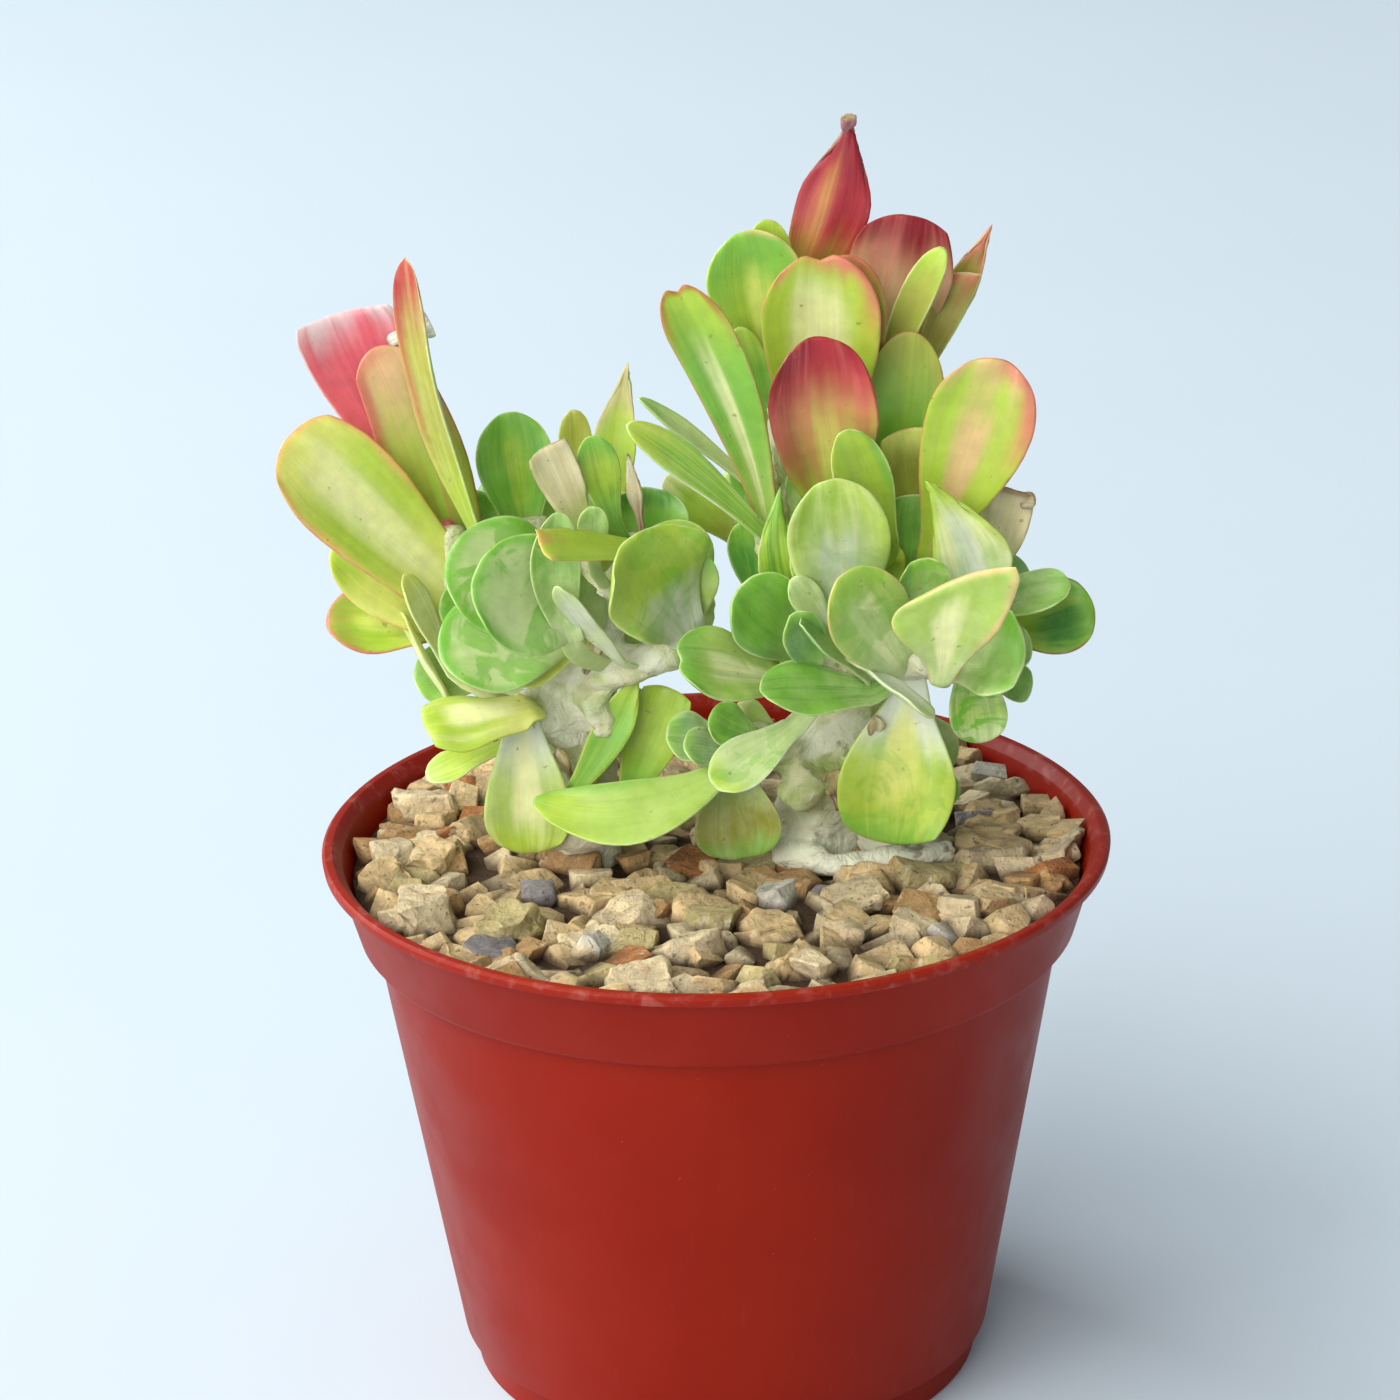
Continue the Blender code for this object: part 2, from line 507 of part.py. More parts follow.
def make_gravel(parts, holes):
    """The top dressing: stones sunk in the bed that they are raised from, one body."""
    low = MIX_TOP + CLEARANCE
    profile = (
        (0.0, BED_TOP),
        (inner_radius(BED_TOP) - 0.6, BED_TOP),
        (inner_radius(low) - 0.6, low),
        (0.0, low),
    )
    gravel = turned("gravel", profile, POT_STEPS, parts)
    stones = new_collection("stones")
    draw = random.Random(STONE_SEED + 1)
    for number, here in enumerate(stone_spots()):
        add_object(f"stone_{number}", stone(number, here, draw), stones)
    boolean(gravel, "UNION", stones)
    apply_modifiers(gravel)
    discard(stones)
    boolean(gravel, "DIFFERENCE", holes)
    apply_modifiers(gravel)
    keep_main_body(gravel)
    gravel.data.materials.append(material("gravel", (0.45, 0.32, 0.17), 0.9))
    return gravel


def discard(collection):
    for item in list(collection.objects):
        bpy.data.objects.remove(item, do_unlink=True)
    bpy.data.collections.remove(collection)


def keep_main_body(item):
    """Drops sealed hollows and loose scraps that fusing leaves, so one body stays."""
    solid = bmesh.new()
    solid.from_mesh(item.data)
    solid.faces.ensure_lookup_table()
    waiting = set(solid.faces)
    bodies = []
    while waiting:
        seed = waiting.pop()
        body = [seed]
        queue = [seed]
        while queue:
            for edge in queue.pop().edges:
                for face in edge.link_faces:
                    if face in waiting:
                        waiting.remove(face)
                        body.append(face)
                        queue.append(face)
        bodies.append(body)
    bodies.sort(key=len)
    for body in bodies[:-1]:
        bmesh.ops.delete(solid, geom=body, context="FACES")
    solid.to_mesh(item.data)
    solid.free()


def branch_lines(feet, branches):
    """Each line as (point, radius) pairs in millimetres: first a trunk for each foot, up
    to where the branch of the same number starts, then the branches."""
    limbs = []
    for branch in branches:
        limbs.append([(VIEW.spot(across, up, depth), radius)
                      for across, up, depth, radius in branch])
    bottom = MIX_TOP - STEM_HOLE_DEPTH + 0.5
    trunks = []
    for (x, y, radius), limb in zip(feet, limbs):
        trunks.append([(Vector((x, y, bottom)), radius), (Vector((x, y, TRUNK_TOP)), radius),
                       limb[0]])
    return trunks + limbs


def nearest_on(lines, point):
    """The nearest point of the branches to a point, with the branch's radius there."""
    best = None
    for line in lines:
        for (start, radius_a), (end, radius_b) in zip(line, line[1:]):
            run = end - start
            share = max(0.0, min(1.0, (point - start).dot(run) / run.length_squared))
            place = start + run * share
            gap = (point - place).length
            if best is None or gap < best[0]:
                best = (gap, place, radius_a + (radius_b - radius_a) * share)
    return best[1], best[2]


def branch_mesh(name, line, collection):
    """A branch as a bevelled curve with filled caps, made a closed mesh."""
    curve = bpy.data.curves.new(name, "CURVE")
    curve.dimensions = "3D"
    curve.bevel_depth = MM
    curve.bevel_resolution = STEM_SIDES // 2 - 2
    curve.use_fill_caps = True
    spline = curve.splines.new("POLY")
    spline.points.add(len(line) - 1)
    for knot, (place, radius) in zip(spline.points, line):
        knot.co = (*(place * MM), 1.0)
        knot.radius = radius
    item = add_object(name, curve, collection)
    depsgraph = bpy.context.evaluated_depsgraph_get()
    mesh = bpy.data.meshes.new_from_object(item.evaluated_get(depsgraph))
    bpy.data.objects.remove(item, do_unlink=True)
    solid = bmesh.new()
    solid.from_mesh(mesh)
    bmesh.ops.remove_doubles(solid, verts=solid.verts, dist=1e-7)
    bmesh.ops.recalc_face_normals(solid, faces=solid.faces)
    solid.to_mesh(mesh)
    solid.free()
    return add_object(name, mesh, collection)


class Blade:
    """Turns (across, along) on a leaf, -1 to 1 and 0 to 1, into a point. Along below 0
    is the leaf's foot, which runs down to the branch."""

    def __init__(self, spec, lines):
        self.spec = spec
        self.root = VIEW.spot(*spec.root)
        tip = VIEW.spot(*spec.tip)
        self.length = (tip - self.root).length
        self.along = (tip - self.root).normalized()
        face = VIEW.direction(*spec.face)
        self.normal = (face - self.along * face.dot(self.along)).normalized()
        self.side = self.along.cross(self.normal)
        self.core, self.core_radius = nearest_on(lines, self.root - self.along * 7.0)
        if (self.core - self.root).length < 3.0:
            self.core = self.root - self.along * 3.0

    def outline(self, across, along):
        """Half width and length of the flat leaf, as shares of its own."""
        spec = self.spec
        round_end = 1.0 - spec.blunt
        if along <= spec.wide:
            swell = math.sin(math.pi / 2.0 * along / spec.wide) ** 1.4
            return spec.stalk + (1.0 - spec.stalk) * swell, along
        end = (along - spec.wide) / (1.0 - spec.wide)
        ratio = math.sqrt(1.0 - round_end * end * end / 2.0) * (1.0 - spec.point * end * end)
        reach = end * math.sqrt(1.0 - round_end * across * across / 2.0)
        return ratio, spec.wide + (1.0 - spec.wide) * reach

    def place(self, across, along):
        if along < 0.0:
            return self.foot(across, -along)
        spec = self.spec
        half = spec.width / 2.0
        ratio, reach = self.outline(across, along)
        end = max(0.0, (along - spec.wide) / (1.0 - spec.wide))
        reach -= spec.notch * math.exp(-((across / 0.25) ** 2)) * end * end
        reach += spec.slant * across * min(1.0, along / spec.wide) ** 2
        x = across * half * ratio
        z = half * ratio * (spec.cup * across * across + spec.fold * abs(across))
        sign = (across > 0.0) - (across < 0.0)
        z += spec.wave * half * across * across * math.sin(math.tau * (1.6 * reach + 0.3 * sign))
        angle = math.radians(spec.twist) * (reach - 0.5)
        x, z = (x * math.cos(angle) - z * math.sin(angle),
                x * math.sin(angle) + z * math.cos(angle))
        arch = 4.0 * reach * (1.0 - reach)
        x += spec.sway * self.length * arch
        z += spec.bow * self.length * arch
        z += spec.curl * self.length * max(0.0, 2.0 * reach - 1.0) ** 2
        return self.root + self.along * (reach * self.length) + self.side * x + self.normal * z

    def foot(self, across, share):
        """A point of the foot, which narrows from the root down into the branch."""
        reach = (self.core - self.root).length
        bend = self.root - self.along * min(5.0, 0.5 * reach)
        place = (self.root * (1.0 - share) ** 2 + bend * (2.0 * share * (1.0 - share))
                 + self.core * share ** 2)
        run = (bend - self.root).lerp(self.core - bend, share)
        side = (-self.along).rotation_difference(run) @ self.side
        half = self.spec.width / 2.0 * self.spec.stalk
        narrow = min(half, max(1.2, 0.4 * self.core_radius))
        return place + side * (across * (half + (narrow - half) * share))


def leaf_rows(spec):
    """Stations along the leaf: foot, blade and rounded end."""
    wide = spec.wide
    if spec.width >= MIDDLE_LEAF:
        return (-1.0, 0.0, 0.6 * wide, wide + 0.35 * (1.0 - wide), 1.0)
    return (-1.0, 0.0, wide + 0.1 * (1.0 - wide), 1.0)


def leaf_mesh(spec, lines, collection):
    """A leaf as one thin closed solid: a grid bent into the blade and thickened."""
    blade = Blade(spec, lines)
    rows = leaf_rows(spec)
    columns = 3 if spec.width >= BROAD_LEAF else 2
    sheet = bmesh.new()
    bmesh.ops.create_grid(sheet, x_segments=columns, y_segments=len(rows) - 1, size=1.0)
    for corner in sheet.verts:
        row = round((corner.co.y + 1.0) / 2.0 * (len(rows) - 1))
        corner.co = blade.place(corner.co.x, rows[row]) * MM
    bmesh.ops.triangulate(sheet, faces=sheet.faces)
    mesh = bpy.data.meshes.new(spec.name)
    sheet.to_mesh(mesh)
    sheet.free()
    item = add_object(spec.name, mesh, collection)
    thicken = item.modifiers.new("blade", "SOLIDIFY")
    thicken.thickness = BLADE * MM
    thicken.offset = 0.0
    thicken.use_even_offset = False
    apply_modifiers(item)
    return item


def make_leafy_stem(name, feet, branches, leaves, colour, parts):
    """A trunk with its crest and all its leaves, fused into one solid."""
    lines = branch_lines(feet, branches)
    pieces = new_collection(f"{name}_pieces")
    stem = branch_mesh(name, lines[0], parts)
    for number, line in enumerate(lines[1:]):
        branch_mesh(f"{name}_branch_{number}", line, pieces)
    for spec in leaves:
        leaf_mesh(spec, lines, pieces)
    boolean(stem, "UNION", pieces, "MANIFOLD")
    apply_modifiers(stem)
    discard(pieces)
    keep_main_body(stem)
    stem.data.materials.append(material(name, colour, 0.5))
    return stem


def main():
    clear_scene()
    parts = new_collection(OBJECT_NAME)
    cutters = new_collection("cutters")
    make_pot(parts, cutters)
    holes = stem_holes(cutters)
    make_mix(parts, holes)
    make_gravel(parts, holes)
    make_leafy_stem("left_leafy_stem", LEFT_FEET, LEFT_BRANCHES,
                    LEFT_LEAVES + back_leaves("left_back", LEFT_BACK, BACK_SEED),
                    (0.30, 0.46, 0.12), parts)
    make_leafy_stem("right_leafy_stem", RIGHT_FEET, RIGHT_BRANCHES,
                    RIGHT_LEAVES + back_leaves("right_back", RIGHT_BACK, BACK_SEED + 1),
                    (0.36, 0.50, 0.14), parts)


main()
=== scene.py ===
"""A potted crested paddle plant, dressed for the studio.

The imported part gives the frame: a red plastic nursery pot, its potting mix, a dressing of
gravel and two crested stems crowded with paddle leaves. This script puts fine pieces over
it. The leaves and branches follow the same rows as the part's, with more faces, and every
leaf gets its own coat of colours. The large stones lie by the same rule as the part's, but
are a little larger, stand higher away from the front, and lie further out beside the wall.

Sizes are in millimetres until a mesh is finished. A spot is read from the front, as
millimetres across, up, and behind the middle of the pot.
"""

import math
import random
from typing import NamedTuple

import bmesh
import bpy
from bpy.props import FloatProperty, FloatVectorProperty, IntProperty, PointerProperty
from mathutils import Color, Matrix, Vector, noise


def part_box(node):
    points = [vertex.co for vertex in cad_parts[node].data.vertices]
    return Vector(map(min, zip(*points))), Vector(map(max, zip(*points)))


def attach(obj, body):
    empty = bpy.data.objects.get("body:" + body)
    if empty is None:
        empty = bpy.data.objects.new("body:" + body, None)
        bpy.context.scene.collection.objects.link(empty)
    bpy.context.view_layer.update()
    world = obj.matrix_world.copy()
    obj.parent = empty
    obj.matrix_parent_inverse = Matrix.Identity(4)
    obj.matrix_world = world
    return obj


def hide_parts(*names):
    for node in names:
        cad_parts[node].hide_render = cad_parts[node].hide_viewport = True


bl_info = {
    "name": "Potted crested paddle plant",
    "version": (1, 0, 0),
    "blender": (4, 5, 0),
    "location": "View3D > Sidebar > Plant",
    "description": "Builds the fine leaves, stems, gravel, pot and stage of the potted plant",
    "category": "Add Mesh",
}

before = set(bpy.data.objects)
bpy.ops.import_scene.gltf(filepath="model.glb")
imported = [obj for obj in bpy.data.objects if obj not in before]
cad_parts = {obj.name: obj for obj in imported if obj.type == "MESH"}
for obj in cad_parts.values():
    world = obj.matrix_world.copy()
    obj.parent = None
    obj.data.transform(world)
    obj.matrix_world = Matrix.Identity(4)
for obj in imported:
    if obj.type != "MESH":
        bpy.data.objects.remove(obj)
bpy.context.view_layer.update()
MM = 0.001

# Pot, as the part has it
POT_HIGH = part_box("pot")[1]
POT_HEIGHT = round(POT_HIGH.z / MM, 2)
RIM_RADIUS = round(POT_HIGH.x / MM, 2)
LIP_THICKNESS = 2.0
LIP_WIDTH = 2.5
COLLAR_HEIGHT = 17.5
COLLAR_TOP_RADIUS = 75.1
COLLAR_LOW_RADIUS = 71.0
BODY_TOP_RADIUS = 67.7
BODY_LOW_RADIUS = 53.5
FOOT_HEIGHT = 7.5
FOOT_RADIUS = 50.9
WALL = 1.5
FLOOR = 3.0

# Small steps of the pot's outline, and its drain holes
EDGE = 0.6
LIP_TAPER = 0.2
LIP_FLAT = 0.5
LIP_DROP = 0.4
COLLAR_LEDGE = 0.9
COLLAR_BEND = 1.2
FOOT_BEND = 1.0
INNER_FOOT_DROP = 0.2
INNER_FOOT_RISE = 1.2
DRAIN_HOLES = 5
DRAIN_TURN = 0.3  # how far the ring of holes is turned, as a share of their spacing
DRAIN_RADIUS = 4.0
DRAIN_CIRCLE = 38.0
CUT_OVER = 2.0  # how far a cutter goes past each side of the floor
POT_BEVEL = 0.4
HAIR = 0.1  # a small allowance in height

# Mix, bed and stones, as the part has them
CLEARANCE = 0.35
MIX_TOP = 95.8
BED_TOP = 104.6
STEM_HOLE_DEPTH = 12.0
STONE_COUNT = 82
STONE_SPACING = 12.2
STONE_CIRCLE = 64.5
STONE_TOP = 109.0
FRONT_STONE_TOP = 110.2
STONE_SEED = 11
STONE_CORNERS = (0.62, 1.08)
STONE_HALF_SIZES = ((5.4, 7.2), (4.6, 5.6), (3.2, 4.4))
STONE_TURNS = ((0.0, math.tau, "Z"), (-0.5, 0.5, "X"), (-0.35, 0.35, "Y"))
STONE_SINK = 1.6
STONE_DEPTH = 4.0  # how far below the bed's top a stone may reach
MOST_THROWS = 20000
WALL_GAP = 0.7
FRONT_FROM, FRONT_OVER = 30.0, 35.0  # where the rise to the front begins, and its length

# What only the fine stones have
WALL_FROM, WALL_OVER = 44.0, 14.0  # where the rise to the wall begins, and its length
LARGE_STONE = 1.22  # the large fine stones' size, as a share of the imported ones'
LARGE_STONE_RISE = 0.2
STONE_LIFT = 0.9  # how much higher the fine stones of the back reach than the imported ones
STONE_HEAP = 1.1  # and how much higher again beside the wall
STONE_SPREAD = 0.045  # how much further out the fine stones beside the wall lie
SMALL_STONES = (0.58, 1.0)
SMALL_STONE_DROPS = (0.0, 2.3)
SMALL_STONE_CIRCLE = 70.0
TRUNK_GAP = 1.5
STONE_CUTS = (0.62, 0.88)
STONE_EDGES = (3.0, 1.7)  # the longest edges that each round of cutting leaves
STONE_LIGHT = (0.85, 1.15)
STONE_SHARES = (44, 30, 8, 9, 5, 2, 2)  # how often each kind comes, tan first
BED_STEPS = 72
BED_GAP = 0.6
BED_RINGS = 9
BED_RING = 6.5
BED_RELIEF = 0.7

# Heights between which a stem turns white, the stones take painted shade low between them, and the
# lip scuffed
WHITE_FOOT = (124.0, 112.0)
PAINTED_GAP_SHADE = (107.4, 104.5)
SCUFFED_LIP = (107.8, 108.8)

# Stems: where each trunk stands, as x, y and radius
LEFT_FEET = ((-26.0, 3.0, 7.5),)
RIGHT_FEET = ((19.5, 3.0, 9.0), (36.0, 3.0, 9.0))
TRUNK_TOP = 112.0
STEM_SINK = 0.5
TUBE_SLIMMER = 0.3  # how much thinner than its row a tube is swept, before it is grown over

# Reliefs: how fine each noise is, how much finer it is upwards, and its height
STONE_RELIEF = ((0.24, 1.0, 1.0), (0.7, 1.0, 0.45))
BARK_RELIEF = ((140.0, 1.0, 0.8), (210.0, 3.0, 0.5), (520.0, 1.0, 0.35))

# Leaves, and how finely a broad and a narrow one are divided
BROAD_LEAF = 10.0
BROAD_FOOT = (-1.0, -0.85, -0.65, -0.45, -0.25, -0.1)
NARROW_FOOT = (-1.0, -0.7, -0.4, -0.15)
BROAD_GRID = (8, 8, 10)
NARROW_GRID = (5, 5, 5)
LEAF_THICKNESS = (1.1, 2.1)
THICKNESS_SHARE = 0.11  # a leaf's thickness as a share of its width, within that range
RIM_WIDTH = 0.4
FOOT_SEARCH = 7.0  # how far down from its root a leaf looks for its branch
SHORTEST_FOOT = 3.0
LONGEST_BEND = 5.0
THINNEST_FOOT = 1.2
SWELL = 1.4  # how slowly a leaf widens from its root
WAVES = 1.6  # how many waves a leaf's edge has
WAVE_SHIFT = 0.3  # how far the two edges' waves are apart from its middle
ROUND_RIM = 0.4
NOTCH_WIDTH = 0.25
EDGE_WOBBLE = 0.03
SHEET_RELIEF = 0.5
CORE_AND_GLOW = 0.85  # how strong a leaf's core and its glow are
UNDERSIDE_PALE = 0.25  # how much of the frosted green the underside has
UNDERSIDE_FROST = 1.3
FROST_FADE = 0.55  # how much of the frost is gone at the tip

# The front view that the spots are read in, which is also the camera's
VIEW_ELEVATION = math.radians(21.07)
VIEW_ROLL = math.radians(-1.303)
VIEW_CENTRE = Vector((0.0, 0.0, POT_HEIGHT))
VIEW_TARGET = Vector((-2.518, 0.0, 138.97))
VIEW_REACH = 876.5

# The studio: each lamp's name, kind, place in metres, tint and shape
LAMPS = (
    ("key", "SUN", (-0.74, -0.27, 0.616), (1.0, 0.99, 0.97), {"angle": 0.9}),
    ("window", "AREA", (-1.6, 1.0, 1.2), (0.95, 0.98, 1.0), {"size": 1.2}),
    ("fill", "AREA", (-0.75, -1.35, 1.0), (1.0, 1.0, 0.99), {"size": 1.4}),
)
SKY_TINT = (0.86, 0.94, 1.0, 1.0)
FLOOR_REACH = 6.0
SENSOR = 36.0
FAR_CLIP = 50.0


class SightLine:
    """Turns (across, up, depth) in millimetres into a point, all in millimetres."""

    def __init__(self):
        level = Vector((1.0, 0.0, 0.0))
        rise = Vector((0.0, math.sin(VIEW_ELEVATION), math.cos(VIEW_ELEVATION)))
        self.near = Vector((0.0, -math.cos(VIEW_ELEVATION), math.sin(VIEW_ELEVATION)))
        self.right = level * math.cos(VIEW_ROLL) + rise * math.sin(VIEW_ROLL)
        self.up = rise * math.cos(VIEW_ROLL) - level * math.sin(VIEW_ROLL)
        self.eye = VIEW_TARGET + self.near * VIEW_REACH

    def spot(self, across, up, depth):
        seen = VIEW_CENTRE + self.right * across + self.up * up
        ray = self.eye - seen
        return seen + ray * ((depth - seen.y) / ray.y)

    def direction(self, across, up, near):
        return self.right * across + self.up * up + self.near * near


VIEW = SightLine()


class Grade(NamedTuple):
    """How a stone is worked: its cuts, how far its edges are worn, whether its faces are
    divided, and how rough they get."""

    cuts: int
    worn: float
    fine: bool
    rough: float


LARGE = Grade(cuts=9, worn=0.5, fine=True, rough=1.35)
SMALL = Grade(cuts=6, worn=0.4, fine=False, rough=0.6)


class Leaf(NamedTuple):
    """One leaf. root and tip are spots, width is in millimetres, and face is the way its
    upper side looks, as right, up and towards the viewer. wide is where along the blade
    it is broadest, stalk its width at the root, blunt, point, notch and slant the shape
    of its end, and the rest bend the sheet, twist in degrees."""

    name: str
    root: tuple
    tip: tuple
    width: float
    face: tuple = (0, 0.2, 1)
    wide: float = 0.65
    stalk: float = 0.45
    blunt: float = 0
    point: float = 0
    notch: float = 0
    slant: float = 0
    bow: float = 0
    sway: float = 0
    cup: float = 0.25
    fold: float = 0
    twist: float = 0
    wave: float = 0.06


LEFT_LEAVES = (
    Leaf("hood", (-59, 68, 12), (-74, 102.5, 10), 20, (0.1, -0.3, 1), wide=0.9, stalk=0.4,
         blunt=0.6, slant=-0.03),
    Leaf("ember", (-49, 46, 7), (-67, 95.7, -1), 15.5, (0.1, -0.1, 1), wide=0.6, stalk=0.6,
         blunt=0.3, sway=0.03),
    Leaf("crescent", (-46, 57, -4), (-61, 113.3, -6), 11.5, (-0.8, 0.1, 0.6), bow=0.045),
    Leaf("flag", (-51, 46, -2), (-84.5, 77.8, -10), 21.5, (-0.1, 0.4, 1), wide=0.72, stalk=0.6,
         blunt=0.2),
    Leaf("flag_back", (-52, 39.5, 3), (-75.5, 56.5, 0), 15, (-0.1, 0.4, 1)),
    Leaf("low_left", (-54, 40, 6), (-76.8, 41.5, 2), 14.5, (-0.1, 0.5, 1), stalk=0.35),
    Leaf("cream_edge", (-53, 33, -10), (-61.8, 50.6, -13), 8, (0.8, 0.3, 0.6)),
    Leaf("cream_thin", (-52, 25, -2), (-62, 43.5, -2), 7, (-0.9, -0.3, 0.25)),
    Leaf("pale_back", (-47, 30, 4), (-59.5, 31.5, 2), 12, (-0.2, 0.3, 1)),
    Leaf("chip", (-43, 60, 9), (-50.2, 67.2, 9), 6, (-0.2, 0.3, 1), point=0.6),
    Leaf("upright", (-38, 60, 6), (-41, 82.8, 8), 15, (0.1, 0.1, 1), wide=0.6),
    Leaf("withered", (-25.5, 58, -8), (-33.7, 76, -12), 9, (0.1, 0.1, 1), wide=0.88, stalk=0.5,
         blunt=0.7, wave=0.2),
    Leaf("olive_back", (-27, 66, 10), (-28, 83.3, 10), 6.6, (0, 0, 1)),
    Leaf("bright", (-20.5, 62, -6), (-25, 78, -8), 8.2, (0.1, 0.2, 1)),
    Leaf("spire", (-20.5, 64, 6), (-17.3, 92.8, 4), 9, (-0.3, 0, 1), wide=0.45, point=0.8,
         fold=0.3),
    Leaf("wisp", (-15, 62, -6), (-17.5, 74.8, -6), 3.2, (-0.2, 0, 1), wide=0.4, point=0.8),
    Leaf("disc_back", (-29, 47, -4), (-53.3, 53, -12), 23, (0, 0.1, 1), wide=0.55),
    Leaf("disc", (-26, 43, -15), (-48, 50, -30), 23, (0, 0.1, 1), wide=0.55),
    Leaf("crest_rim", (-40, 42, -4), (-54.6, 44.6, -9), 12, (-0.1, 0.2, 1)),
    Leaf("disc_low", (-30, 39, -9), (-54.4, 34.5, -21), 20, (0, 0.3, 1), wide=0.6),
    Leaf("tongue_low", (-28, 36, -10), (-40, 29.5, -16), 7, (0, 0.3, 1)),
    Leaf("oblique", (-28.5, 38, -20), (-31.5, 63, -22), 10, (0.3, 0.1, 1), sway=-0.08, cup=0.4),
    Leaf("bud", (-24, 54, -11), (-24.3, 64.3, -13), 6, (0, 0.1, 1)),
    Leaf("round_top", (-14, 54, 1), (-13, 68, 1), 16),
    Leaf("tongue", (-13, 54.5, -14), (-34.6, 56, -30), 8, (0, 0.6, 1), wide=0.85, stalk=0.7,
         blunt=0.9, sway=0.03),
    Leaf("apron", (-6, 39, -12), (-17, 58, -24), 26, (0.1, 0.4, 1), wide=0.6, stalk=0.3,
         slant=-0.1, cup=0.2, wave=0.12),
    Leaf("apron_mid", (-5, 41, -8), (-3.5, 55, -10), 9, (0.1, 0.2, 1)),
    Leaf("apron_back", (-4, 43, -3), (-13, 60, -4), 18, (0.1, 0.2, 1)),
    Leaf("slit_white", (-19, 34, -15), (-31.4, 48.4, -27), 6, (-0.5, -0.5, 0.8)),
    Leaf("inner", (-14, 34, -2), (-19, 43, -3), 8),
    Leaf("plump", (-38, 24.5, -13), (-57.8, 22, -18), 15, (-0.1, 0.8, 0.8), stalk=0.6, blunt=0.3,
         cup=-0.3),
    Leaf("plump_low", (-44, 16, -8), (-57, 10.5, -12), 8, (-0.1, 0.8, 0.8)),
    Leaf("gravel_tongue", (-38, 22, -9), (-36.5, -4.2, -11), 17, wide=0.7, stalk=0.4),
    Leaf("fold_tall", (-28, 8, -10), (-15.5, 30.6, -8), 7.5, (0.1, 0.2, 1), wide=0.6, point=0.4,
         sway=0.03),
    Leaf("fold_wing", (-17, 7, -7), (-9, 28.5, -5), 11.5, (0.1, 0.2, 1), wide=0.7, blunt=0.4),
)

